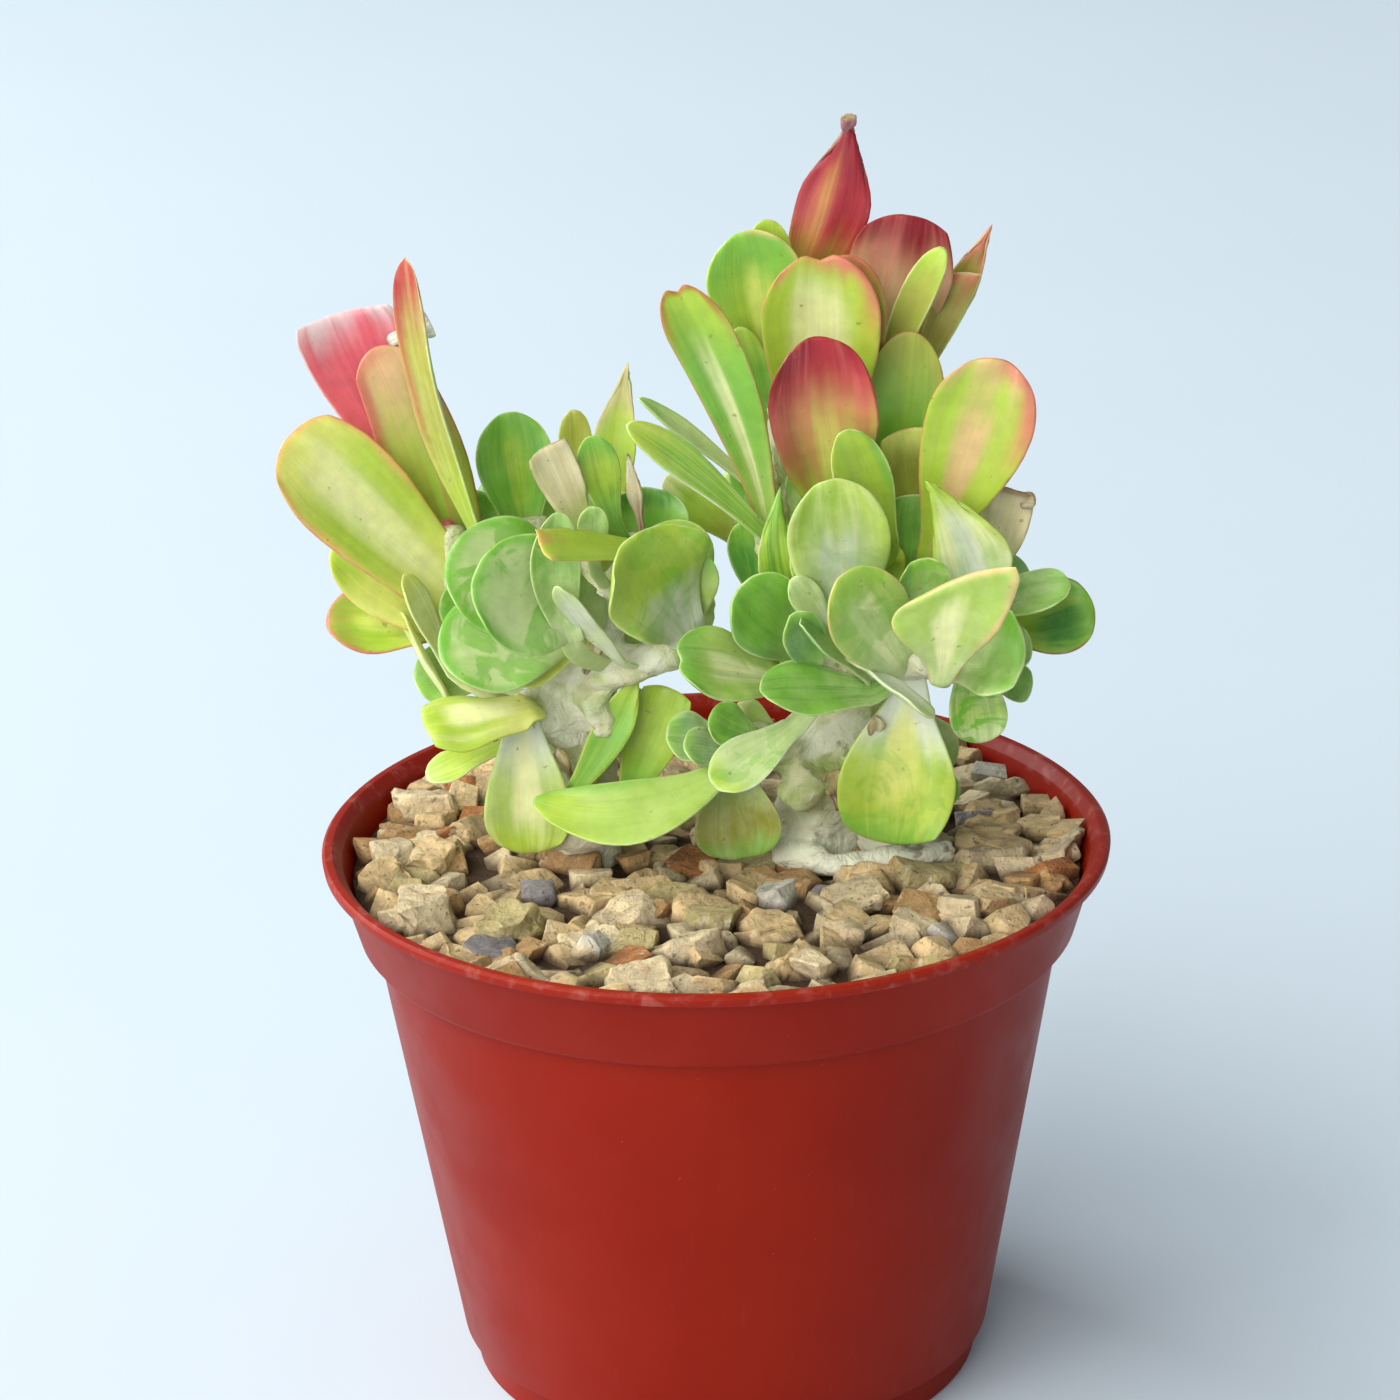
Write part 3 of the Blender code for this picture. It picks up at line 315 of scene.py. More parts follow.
RIGHT_LEAVES = (
    Leaf("flame", (15, 104, 15), (26.6, 140.6, 16), 14.5, (-0.1, 0, 1), wide=0.55, stalk=0.5,
         point=0.8, sway=0.05, fold=-0.3),
    Leaf("dome", (33, 92, 15), (38, 121.6, 14), 20.5, (0.1, 0, 1), wide=0.62, blunt=0.2,
         fold=-0.15),
    Leaf("split_high", (42, 95, 20), (54.5, 119.8, 20), 6.5, (0, 0, 1), wide=0.5, point=0.85),
    Leaf("split_low", (39, 88, 15), (49, 110.3, 14), 7, (0, 0, 1), wide=0.85, blunt=0.8,
         slant=0.06),
    Leaf("blade", (33, 88, 7), (45, 115.3, 5), 7, (-0.4, 0, 1), sway=-0.03),
    Leaf("pale_top", (11.5, 86, 8), (6, 118.6, 6), 18.5, (0, 0, 1), wide=0.7),
    Leaf("pale_top_back", (12, 100, 11), (9.8, 120.8, 10), 9, (0, 0, 1)),
    Leaf("heart", (21, 74, 4), (20.5, 114.4, 0), 22.5, (0, 0, 1), wide=0.68, notch=0.04),
    Leaf("heart_back", (25, 80, 6), (26, 113.8, 5), 15.5, (0, 0, 1)),
    Leaf("ruby", (23.5, 62, -6), (19.5, 97.6, -14), 20.5, (0, 0, 1), wide=0.62, wave=0.15),
    Leaf("lip", (33.5, 57, -10), (25.3, 79.3, -17), 11, (0, 0.1, 1), wide=0.6),
    Leaf("spoon", (11, 56, -3), (-8.5, 108, -13), 12, (-0.1, 0, 1), wide=0.82, stalk=0.25,
         notch=0.03, sway=0.05, fold=0.2),
    Leaf("spoon_back", (11.5, 74, 5), (4.5, 99.5, 4), 8, (0, 0, 1)),
    Leaf("dark_olive", (34, 62, 4), (38.5, 98.7, 3), 17, (0, 0, 1), wide=0.55),
    Leaf("sliver", (30, 74, 9), (33.5, 97, 9), 6, (0, 0, 1)),
    Leaf("sun", (43, 56, -6), (56.5, 93.2, -13), 20.5, (0, 0, 1), wide=0.7, stalk=0.3),
    Leaf("sun_low", (41, 58, 0), (37.5, 79.5, -2.5), 12, blunt=0.6),
    Leaf("moon", (26, 42, -12), (22.5, 69.6, -24), 19.5, (0, 0.1, 1), wide=0.62),
    Leaf("moon_low", (36, 33, -18), (24.5, 50.5, -30), 17, wide=0.6),
    Leaf("cup", (44.5, 30.5, -26), (47.8, 50, -34), 22, (0, 0.1, 1), wide=0.85, stalk=0.2,
         blunt=0.6, slant=0.3),
    Leaf("sail", (52, 45, -12), (41.3, 69.3, -16), 15.5, (-0.2, 0.1, 1), wide=0.3, stalk=0.6,
         point=0.8, sway=0.08),
    Leaf("dried", (53, 48, 0), (58, 67.8, -4), 10.5, (0, 0, 1), wide=0.8, blunt=0.5, wave=0.2),
    Leaf("twist", (54, 45, -3), (70, 48.2, -8), 10, (0, 0.5, 1), twist=30),
    Leaf("far_right", (58, 40, 4), (74.7, 43.8, 2), 16, (0, 0.3, 1), wide=0.6),
    Leaf("cup_right", (48, 33, -12), (61, 35.5, -20), 17.5, (0, 0.3, 1), blunt=0.4, cup=0.4),
    Leaf("cup_right_back", (54, 35, -6), (62.4, 37, -8), 9, (0, 0.3, 1)),
    Leaf("low_right", (55, 30, 0), (62.4, 28.5, 0), 8, (0, 0.3, 1)),
    Leaf("droop_right", (50, 33, -8), (52.5, 17.6, -12), 11.5),
    Leaf("level", (28.5, 27.5, -18), (8.8, 27.8, -30), 11.8, (0, 0.5, 1), wide=0.6, stalk=0.55),
    Leaf("rim_thick", (29, 31, -17), (16.6, 41.2, -28), 8, (0.5, 0.7, 0.8)),
    Leaf("rim_small", (19.5, 32, -18), (15.5, 43.3, -27), 8.5),
    Leaf("white_edge", (30, 32, -22), (43, 22.4, -27), 8, (0.4, 0.8, 0.3)),
    Leaf("bib", (38, 27, -14), (34, -2.3, -16), 22.8, (0, 0.1, 1), wide=0.6, stalk=0.36,
         blunt=0.15),
    Leaf("bib_wing", (41, 4, -4), (47.2, 10.8, -8), 7),
    Leaf("frosted", (14.5, 20, -20), (-0.5, 9, -30), 10.5, (0, 0.4, 1)),
    Leaf("hang", (3, 12, -10), (5, -5.3, -11), 17),
    Leaf("nest_a", (1, 18, -10), (-9.8, 19, -13), 10, (0, 0.3, 1)),
    Leaf("nest_b", (2, 16, -12), (-6.3, 17, -17), 8, (0, 0.3, 1)),
    Leaf("nest_c", (7, 19, -12), (-1.5, 22.5, -15), 9, (0, 0.3, 1)),
    Leaf("nest_d", (11, 20, -4), (4, 25, -6), 6, (0, 0.3, 1)),
    Leaf("front_mid", (12, 30, -18), (-8, 34, -31), 15, (0, 0.4, 1), notch=0.05),
    Leaf("front_round", (16, 36, -14), (4.3, 48, -22), 16),
    Leaf("shade", (9, 46, -1), (5.5, 61.4, -2), 9, (0, 0.1, 1)),
    Leaf("spear", (16, 43, -12), (12.8, 68.3, -15), 8.5, (0, 0.1, 1), wide=0.4, point=0.9,
         sway=-0.08),
    Leaf("white_under", (22, 40, -18), (15, 50, -21), 6.5, (0, 0.3, 1)),
    Leaf("tuck", (33, 46, -5), (34.5, 57, -5), 7, (0, 0.1, 1)),
    Leaf("back_green", (38, 48, -2), (39.5, 66.6, -2.5), 13, (0, 0.1, 1), blunt=0.3),
    Leaf("rim_right", (42, 44, -17), (40, 53.8, -21), 10),
    Leaf("teal", (14, 58, 3), (13, 76, 6), 7, (0, 0.1, 1)),
    Leaf("teal_pale", (17, 58, 0), (17, 73, 0), 7, (0, 0.1, 1)),
    Leaf("sliver_low", (7, 58, 4), (3.8, 75, 6), 4.5, (0, 0.1, 1)),
    Leaf("far_back", (4, 58, 10), (-10, 70, 12), 8, (0, 0.1, 1)),
    Leaf("needle", (9, 66.5, 0), (-15.3, 85.6, -4), 5, (0.4, 0.6, 0.7), sway=0.02),
    Leaf("oar", (9, 59, -9), (-17.6, 80.3, -15), 7.5, (0.1, 0.4, 0.9), wide=0.7, sway=0.03),
    Leaf("boat", (2, 12, -14), (-36, 5.5, -18), 14.5, (0, 0.7, 1), wide=0.5, stalk=0.4,
         sway=-0.18),
)

# Leaves of the far side: root, tip and width
LEFT_BACK = (
    ((-50, 50, 6), (-58, 74, 20), 16),
    ((-46, 43, 8), (-54, 60, 28), 18),
    ((-40, 48, 8), (-44, 70, 24), 16),
    ((-36, 42, 8), (-38, 58, 32), 16),
    ((-35, 56, 7), (-37, 73, 20), 15),
    ((-30, 34, 8), (-34, 46, 30), 16),
    ((-28, 46, 8), (-27, 68, 26), 16),
    ((-23, 36, 8), (-18, 50, 30), 16),
    ((-20, 50, 7), (-19, 70, 22), 16),
    ((-28, 26, 8), (-31, 9, 15), 15),
    ((-25, 22, 8), (-17, 25, 27), 14),
)
RIGHT_BACK = (
    ((12, 54, 6), (3, 72, 20), 16),
    ((12, 70, 7), (6, 92, 16), 16),
    ((22, 50, 8), (17, 66, 30), 16),
    ((25, 64, 8), (21, 86, 28), 16),
    ((23, 78, 9), (16, 99, 22), 16),
    ((29, 86, 10), (33, 108, 24), 16),
    ((20, 95, 10), (19, 111, 22), 13),
    ((31, 40, 8), (26, 52, 32), 16),
    ((34, 54, 8), (38, 74, 28), 19),
    ((37, 34, 8), (40, 42, 32), 16),
    ((43, 45, 8), (47, 63, 26), 16),
    ((49, 50, 6), (56, 68, 22), 16),
    ((52, 42, 6), (62, 51, 22), 16),
    ((30, 26, 9), (27, 8, 16), 16),
    ((36, 24, 9), (43, 10, 16), 15),
    ((24, 30, 9), (15, 34, 28), 16),
    ((36, 66, 8), (42, 88, 20), 15),
)
BACK_SEED = 5

# Branches of each crest: spots with a radius, from the trunk outwards
LEFT_BRANCHES = (
    ((-26.5, 14, 2, 7.5), (-26, 24, 1, 7.5), (-27, 34, -1, 7.5)),
    ((-27, 30, 0, 7.0), (-36, 41, -2, 7.0), (-46, 45, -1, 6.0), (-52, 50, 0, 4.5),
     (-52, 60, 1, 3.0)),
    ((-27, 33, -2, 6.5), (-22, 44, -2, 6.0), (-17, 52, -1, 6.0), (-14, 58, 1, 4.0)),
    ((-36, 41, 0, 6.0), (-36, 52, 2, 6.0), (-37, 62, 4, 4.0)),
    ((-22, 44, 0, 5.5), (-24, 56, 2, 5.0), (-23, 64, 2, 3.5)),
    ((-24, 32, -4, 5.0), (-15, 33.5, -8, 4.0), (-8, 35.5, -9, 4.0), (-4, 41, -8, 3.5)),
    ((-27, 20, 0, 6.0), (-34, 23, -5, 5.0), (-39, 25, -8, 4.0)),
    ((-27, 6, 2, 6.5), (-23, 6, -5, 4.0)),
)
RIGHT_BRANCHES = (
    ((20, 8, 1, 8.0), (24, 18, -1, 7.5), (30, 27, -2, 7.5), (33, 34, -3, 7.0)),
    ((36, 10, 2, 8.0), (35, 22, 0, 7.5), (34, 33, -2, 7.5)),
    ((33, 34, -3, 7.0), (30, 46, -2, 6.5), (26, 58, 1, 6.0), (24, 70, 4, 5.0), (24, 82, 6, 4.5),
     (23, 92, 7, 3.5), (18, 104, 8, 2.5)),
    ((24, 80, 6, 4.0), (30, 88, 8, 3.5), (35, 94, 9, 3.0), (40, 96, 9, 2.5)),
    ((31, 42, -3, 6.0), (22, 48, -4, 6.0), (15, 52, -3, 5.5), (11, 58, -1, 4.5),
     (11, 66, 0, 3.5), (12, 76, 4, 3.0), (13, 90, 6, 2.5)),
    ((35, 34, -3, 7.0), (42, 42, -2, 6.5), (48, 47, 0, 5.5), (56, 45, 2, 4.0)),
    ((42, 42, -2, 6.0), (43, 54, 0, 5.0), (43, 61, 1, 3.5)),
    ((33, 34, -4, 6.0), (37, 34, -12, 5.0), (43, 34, -18, 4.0)),
    ((31, 30, -4, 6.0), (28, 32, -12, 5.0), (20, 36, -13, 4.5), (15, 36, -11, 4.0),
     (12, 31, -10, 3.5)),
    ((21, 10, 0, 6.5), (14, 16, -4, 5.0), (8, 18, -6, 4.5), (3, 16, -8, 4.0)),
)

# Small things that only this dressing has: dried tips and scales, and the tiniest leaves
LEFT_SCRAPS = (
    Leaf("scrap_hood", (-62, 98, 9), (-56.5, 101, 9), 7, (0.2, 0.3, 1), blunt=0.7, wave=0.5),
    Leaf("scrap_scale", (-25, 33, -9), (-22.6, 38, -12), 3.6, (0, 0.3, 1), point=0.5, fold=0.5,
         wave=0.3),
    Leaf("scrap_scale_low", (-29, 12, -8), (-31, 16.5, -11), 3.4, (-0.5, 0.3, 1), point=0.5),
)
RIGHT_SCRAPS = (
    Leaf("scrap_flame", (25.6, 137.5, 16), (26.4, 141.6, 15), 3.0, (0.2, 0, 1), blunt=0.4,
         wave=0.4),
    Leaf("scrap_dried", (59, 65, -3), (63, 65.5, -5), 3.6, (0, 0.2, 1), wave=0.5),
    Leaf("scrap_nub", (31, 19, -14), (31.5, 23, -17), 3.6, (0.2, 0.2, 1), point=0.4, fold=0.4),
    Leaf("scrap_bark", (24, 7, -9), (22.5, 12, -10), 5, (0, 0.3, 1), wave=0.5),
    Leaf("spear_small", (18, 46, -15), (15.8, 56, -18), 4, (0, 0.1, 1)),
    Leaf("rim_tiny", (36, 42, -16), (34, 49.5, -17), 6),
)

# Corky lumps on the stems that carry no leaf: spots with a radius, as for the branches
LEFT_LUMPS = (
    ((-24, 31, -5, 4.5), (-15, 33, -9, 3.6), (-8, 35.5, -10, 3.4), (-4, 41, -9, 3.0)),
    ((-33, 0, -4, 4.5), (-28, 0, -8, 4.0), (-20, 1, -7, 4.0)),
    ((-22, 20, -7, 3.5), (-24, 27, -8, 3.5)),
)
RIGHT_LUMPS = (
    ((12, -4, -5, 3.6), (20, -5.5, -9, 3.4), (24, -6.5, -11, 2.4), (33, -5.5, -9, 3.0),
     (41, -5, -9, 2.2), (46, -4, -5, 2.6)),
    ((15, 6, -9, 4.5), (20, 12, -9, 4.0)),
    ((30, 8, -9, 4.0), (27, 16, -10, 3.5)),
)


class Coat(NamedTuple):
    """The colours of one leaf: base, middle and tip along it, streaks that run with it, bright
    green splashes, a whitish frost, a thin rim, a glow of colour inside the rim that glow_side
    puts on the right (1), the left (-1) or both (0), and a feathery core down the middle. The
    numbers beside them are strengths from 0 to 1, places along or across the leaf, and the
    glow's width in millimetres."""

    base: str
    middle: str
    tip: str
    streak: str = "green"
    streaks: float = 0.4
    splash: float = 0.0
    frost: float = 0.2
    rim: str = "pale_rim"
    tip_at: float = 0.8
    tip_soft: float = 0.15
    glow: str = ""
    glow_width: float = 3.0
    glow_side: float = 0.0
    glow_from: float = 0.2
    core: str = ""
    core_width: float = 0.5
    core_shift: float = 0.0
    core_end: float = 0.85


FROSTED = Coat("frost", "frost_green", "frost_green", "green", 0.3, splash=0.45, frost=0.7)
GREEN = Coat("frost_green", "green", "green", "deep_green", 0.5, splash=0.3, frost=0.3)
BACK_COAT_HEIGHTS = (48, 70, 85)
BACK_COATS = (
    FROSTED,
    Coat("frost", "frost_green", "green", "deep_green", splash=0.5, frost=0.4),
    Coat("frost_green", "green", "lime", "yellow", 0.45, splash=0.3),
    Coat("lime", "lime", "rose", "yellow", 0.45, rim="red", frost=0.05, tip_at=0.95, core="yellow",
         core_width=0.6),
)
WITHERED = Coat("brown", "tan", "tan", "white", 0.6, frost=0.1, rim="brown")
DISC = Coat("frost", "frost", "frost_green", "green", 0.25, splash=0.65, frost=0.45, rim="frost",
            tip_at=0.9, glow="splash")
NEST = Coat("blue_green", "blue_green", "green", "frost", frost=0.5)

FROSTED_LEAVES = ("pale_back", "oblique", "bud", "inner", "teal_pale", "cup_right_back",
                  "low_right", "bib_wing")

COATS = {
    "hood": Coat("pink", "pink", "withered_white", "red", 0.35, rim="withered_white", tip_at=0.93,
                 tip_soft=0.12, frost=0.0),
    "ember": Coat("green", "lime", "peach", "rose", 0.35, rim="rose", tip_at=0.72, tip_soft=0.26,
                  frost=0.03, glow="rose", glow_side=-0.4, glow_from=0.4),
    "crescent": Coat("lime", "olive", "red", "yellow", 0.3, tip_at=0.84, glow="red", glow_width=3.5,
                     glow_side=-1),
    "flag": Coat("yellow", "lime", "yellow", "yellow", 0.25, rim="rose", frost=0.0, glow="orange",
                 glow_width=1.4, core="cream", core_width=0.6, core_end=0.98),
    "flag_back": Coat("yellow", "yellow", "lime", "cream", 0.3, rim="orange", frost=0.05),
    "low_left": Coat("yellow", "lime", "olive", rim="rose", frost=0.05, glow="rose", glow_width=1.0,
                     core="yellow", core_width=0.35),
    "cream_edge": Coat("cream", "cream", "yellow", "lime", 0.3, frost=0.3),
    "cream_thin": Coat("cream", "cream", "yellow", "green", 0.3, frost=0.3),
    "upright": Coat("green", "green", "green", "deep_green", 0.6, splash=0.3, frost=0.1,
                    core="lime"),
    "withered": Coat("lime", "dry", "dry", "tan", 0.5, rim="brown", tip_at=0.92, tip_soft=0.1),
    "olive_back": Coat("green", "olive", "olive", "lime"),
    "bright": Coat("green", "lime", "green", "deep_green", 0.5, frost=0.1),
    "spire": Coat("lime", "lime", "tan", rim="tan", tip_at=0.75, glow="tan", glow_width=2.2,
                  glow_side=-1),
    "wisp": WITHERED,
    "disc": DISC._replace(streak="frost_green", glow_width=3.2),
    "disc_back": DISC,
    "disc_low": DISC._replace(splash=0.6),
    "crest_rim": Coat("frost", "frost_green", "green", "deep_green", 0.3, splash=0.8, frost=0.45,
                      rim="frost", glow="splash", glow_width=2.5),
    "tongue_low": Coat("yellow", "yellow", "yellow", "lime", 0.3),
    "round_top": Coat("green", "green", "deep_green", "frost_green", 0.6, splash=0.4, frost=0.3),
    "tongue": Coat("lime", "lime", "orange", rim="orange", frost=0.05, tip_at=0.97, tip_soft=0.12),
    "apron": Coat("white", "lime", "lime", "green", 0.35, splash=0.35, frost=0.25, tip_at=0.75,
                  glow="lime", glow_width=4.0, glow_from=0.4, core="white", core_width=0.7,
                  core_end=0.55),
    "apron_mid": Coat("frost", "pale_green", "green", "green", 0.5, frost=0.5),
    "apron_back": Coat("frost", "pale_green", "lime", splash=0.3, frost=0.4),
    "slit_white": Coat("white", "white", "frost", frost=0.8),
    "plump": Coat("yellow", "lime", "lime", "cream", rim="lime", frost=0.05, core="cream"),
    "plump_low": Coat("lime", "lime", "pale_green", "cream", 0.3, frost=0.1),
    "gravel_tongue": Coat("white", "pale_green", "lime", "cream", 0.5, rim="pale_green", frost=0.3,
                          core="cream"),
    "fold_tall": Coat("green", "green", "lime", "lime", rim="yellow", frost=0.05),
    "fold_wing": Coat("green", "lime", "lime", rim="yellow", frost=0.05),
    "flame": Coat("olive", "red", "deep_red", "deep_red", 0.6, rim="deep_red", tip_at=0.75,
                  tip_soft=0.3, frost=0.0, core="gold", core_width=0.32, core_shift=-0.25),
    "dome": Coat("lime", "peach", "deep_red", "rose", 0.45, rim="deep_red", tip_at=0.74,
                 tip_soft=0.22, frost=0.0),
    "split_high": Coat("olive", "olive", "rose", "tan_red", 0.5, rim="tan", tip_at=0.75,
                       frost=0.05),
    "split_low": Coat("olive", "olive", "tan_red", "tan_red", 0.5, rim="frost", tip_at=0.85),
    "blade": Coat("olive", "olive", "lime", frost=0.05),
    "pale_top": Coat("lime", "lime", "green", rim="yellow", frost=0.03, glow="peach",
                     glow_width=1.6, glow_side=1, tip_at=0.68, tip_soft=0.2, core="yellow",
                     core_width=0.4, core_shift=0.1),
    "pale_top_back": Coat("olive", "olive", "lime", "green", 0.3, frost=0.05),
    "heart": Coat("green", "lime", "rose", "lime", 0.2, rim="rose", tip_at=0.97, tip_soft=0.09,
                  glow="rose", glow_width=4.4, glow_side=0.4, glow_from=0.5, frost=0.0,
                  core="cream", core_width=0.7, core_end=0.95),
    "heart_back": Coat("olive", "olive", "tan_red", "tan_red", rim="rose", frost=0.0, tip_at=0.93),
    "ruby": Coat("lime", "yellow", "red", "rose", 0.5, rim="deep_red", tip_at=0.58, tip_soft=0.3,
                 frost=0.02, glow="deep_red", glow_width=9.0, glow_side=-1, glow_from=0.1),
    "lip": Coat("lime", "lime", "lime", rim="cream", frost=0.05, glow="green", glow_width=2.0,
                glow_side=1),
    "spoon": Coat("pale_green", "green", "lime", "green", 0.35, rim="rose", tip_at=0.82, glow="red",
                  glow_width=1.8, glow_from=0.7, frost=0.05, core="cream", core_width=0.36,
                  core_shift=-0.2),
    "spoon_back": Coat("green", "green", "lime", "deep_green"),
    "dark_olive": Coat("green", "green", "olive", "lime", 0.35, rim="rose", frost=0.0, tip_at=0.75,
                       tip_soft=0.3),
    "sun": Coat("lime", "lime", "peach", "peach", 0.35, rim="rose", tip_at=0.95, glow="rose",
                glow_width=4.5, glow_side=0.6, glow_from=0.42, frost=0.0, core="peach",
                core_width=0.36),
    "sun_low": Coat("olive", "olive", "yellow", "lime", rim="rose", frost=0.0),
    "moon": Coat("white", "frost", "lime", "cream", splash=0.2, rim="frost", tip_at=0.72,
                 tip_soft=0.25, glow="lime", glow_width=4.5, core="white", core_width=0.6,
                 core_end=0.7),
    "moon_low": Coat("frost", "pale_green", "lime", splash=0.4, frost=0.3, rim="peach",
                     core="cream"),
    "cup": Coat("frost", "pale_green", "pale_green", "lime", 0.35, splash=0.1, frost=0.35,
                rim="peach", glow="peach", glow_width=1.8, glow_side=1, core="cream",
                core_width=0.4),
    "sail": Coat("frost", "cream", "lime", rim="lime", frost=0.25, glow="lime", glow_width=2.5,
                 core="white"),
    "dried": Coat("lime", "dry", "dry", "tan", rim="brown", tip_at=0.85, frost=0.05, glow="brown",
                  glow_width=1.0, glow_from=0.7),
    "twist": Coat("frost_green", "frost_green", "green", "deep_green", splash=0.3, frost=0.6),
    "far_right": Coat("lime", "deep_green", "green", "lime", 0.5, splash=0.5, rim="red"),
    "cup_right": Coat("frost", "frost_green", "green", splash=0.3, frost=0.7),
    "droop_right": Coat("frost", "pale_green", "frost", "deep_green", 0.5, splash=0.9, frost=0.5),
    "level": Coat("frost_green", "green", "green", "deep_green", 0.7, splash=0.4, frost=0.3),
    "rim_thick": Coat("frost", "frost_green", "blue_green", frost=0.6),
    "rim_small": Coat("frost_green", "blue_green", "green", frost=0.5),
    "white_edge": Coat("white", "white", "frost", frost=0.9),
    "bib": Coat("white", "lime", "green", "yellow", splash=0.3, frost=0.15, rim="lime", tip_at=0.85,
                core="yellow", core_end=0.8),
    "frosted": Coat("frost", "frost", "lime", splash=0.4, frost=0.5, rim="white"),
    "hang": Coat("frost_green", "olive", "green", "frost", 0.45, frost=0.55),
    "nest_a": NEST,
    "nest_b": NEST,
    "nest_d": Coat("frost", "pale_green", "cream", frost=0.4),
    "front_mid": Coat("pale_green", "pale_green", "green", "deep_green", splash=0.4, frost=0.25,
                      rim="frost", core="cream", core_end=0.75),
    "front_round": Coat("frost_green", "green", "green", "deep_green", 0.5, splash=0.5, frost=0.15),
    "shade": Coat("deep_green", "deep_green", "green", "lime", 0.3, frost=0.1),
    "spear": Coat("green", "lime", "green", "deep_green", 0.7, frost=0.05),
    "spear_small": Coat("lime", "lime", "lime", frost=0.1),
    "white_under": Coat("white", "frost", "frost", "green", 0.3, frost=0.8),
    "tuck": Coat("olive", "lime", "lime", rim="red"),
    "rim_right": Coat("frost", "frost_green", "green", "lime", splash=0.4, frost=0.5),
    "teal": Coat("deep_green", "blue_green", "blue_green", "frost", 0.3, frost=0.4),
    "far_back": Coat("olive", "lime", "cream", frost=0.1),
    "needle": Coat("frost", "frost", "frost_green", "green", 0.2, frost=0.8),
    "oar": Coat("green", "green", "lime", "yellow", 0.6, frost=0.15, rim="white"),
    "boat": Coat("pale_green", "pale_green", "lime", "green", 0.35, rim="frost", glow="green",
                 glow_width=2.4, glow_side=1),
    "scrap_flame": Coat("mauve", "mauve", "tan", "brown", rim="mauve", frost=0.1),
    "scrap_hood": Coat("white", "white", "white", "mauve", 0.6, rim="white"),
}


def coat_of(spec):
    """The coat of a leaf: its own, one for its height on the far side, or a plain one."""
    if spec.name in COATS:
        return COATS[spec.name]
    if spec.name in FROSTED_LEAVES:
        return FROSTED
    if "_back_" in spec.name:
        return BACK_COATS[sum(spec.tip[1] > height for height in BACK_COAT_HEIGHTS)]
    if spec.name.startswith("scrap"):
        return WITHERED
    return GREEN


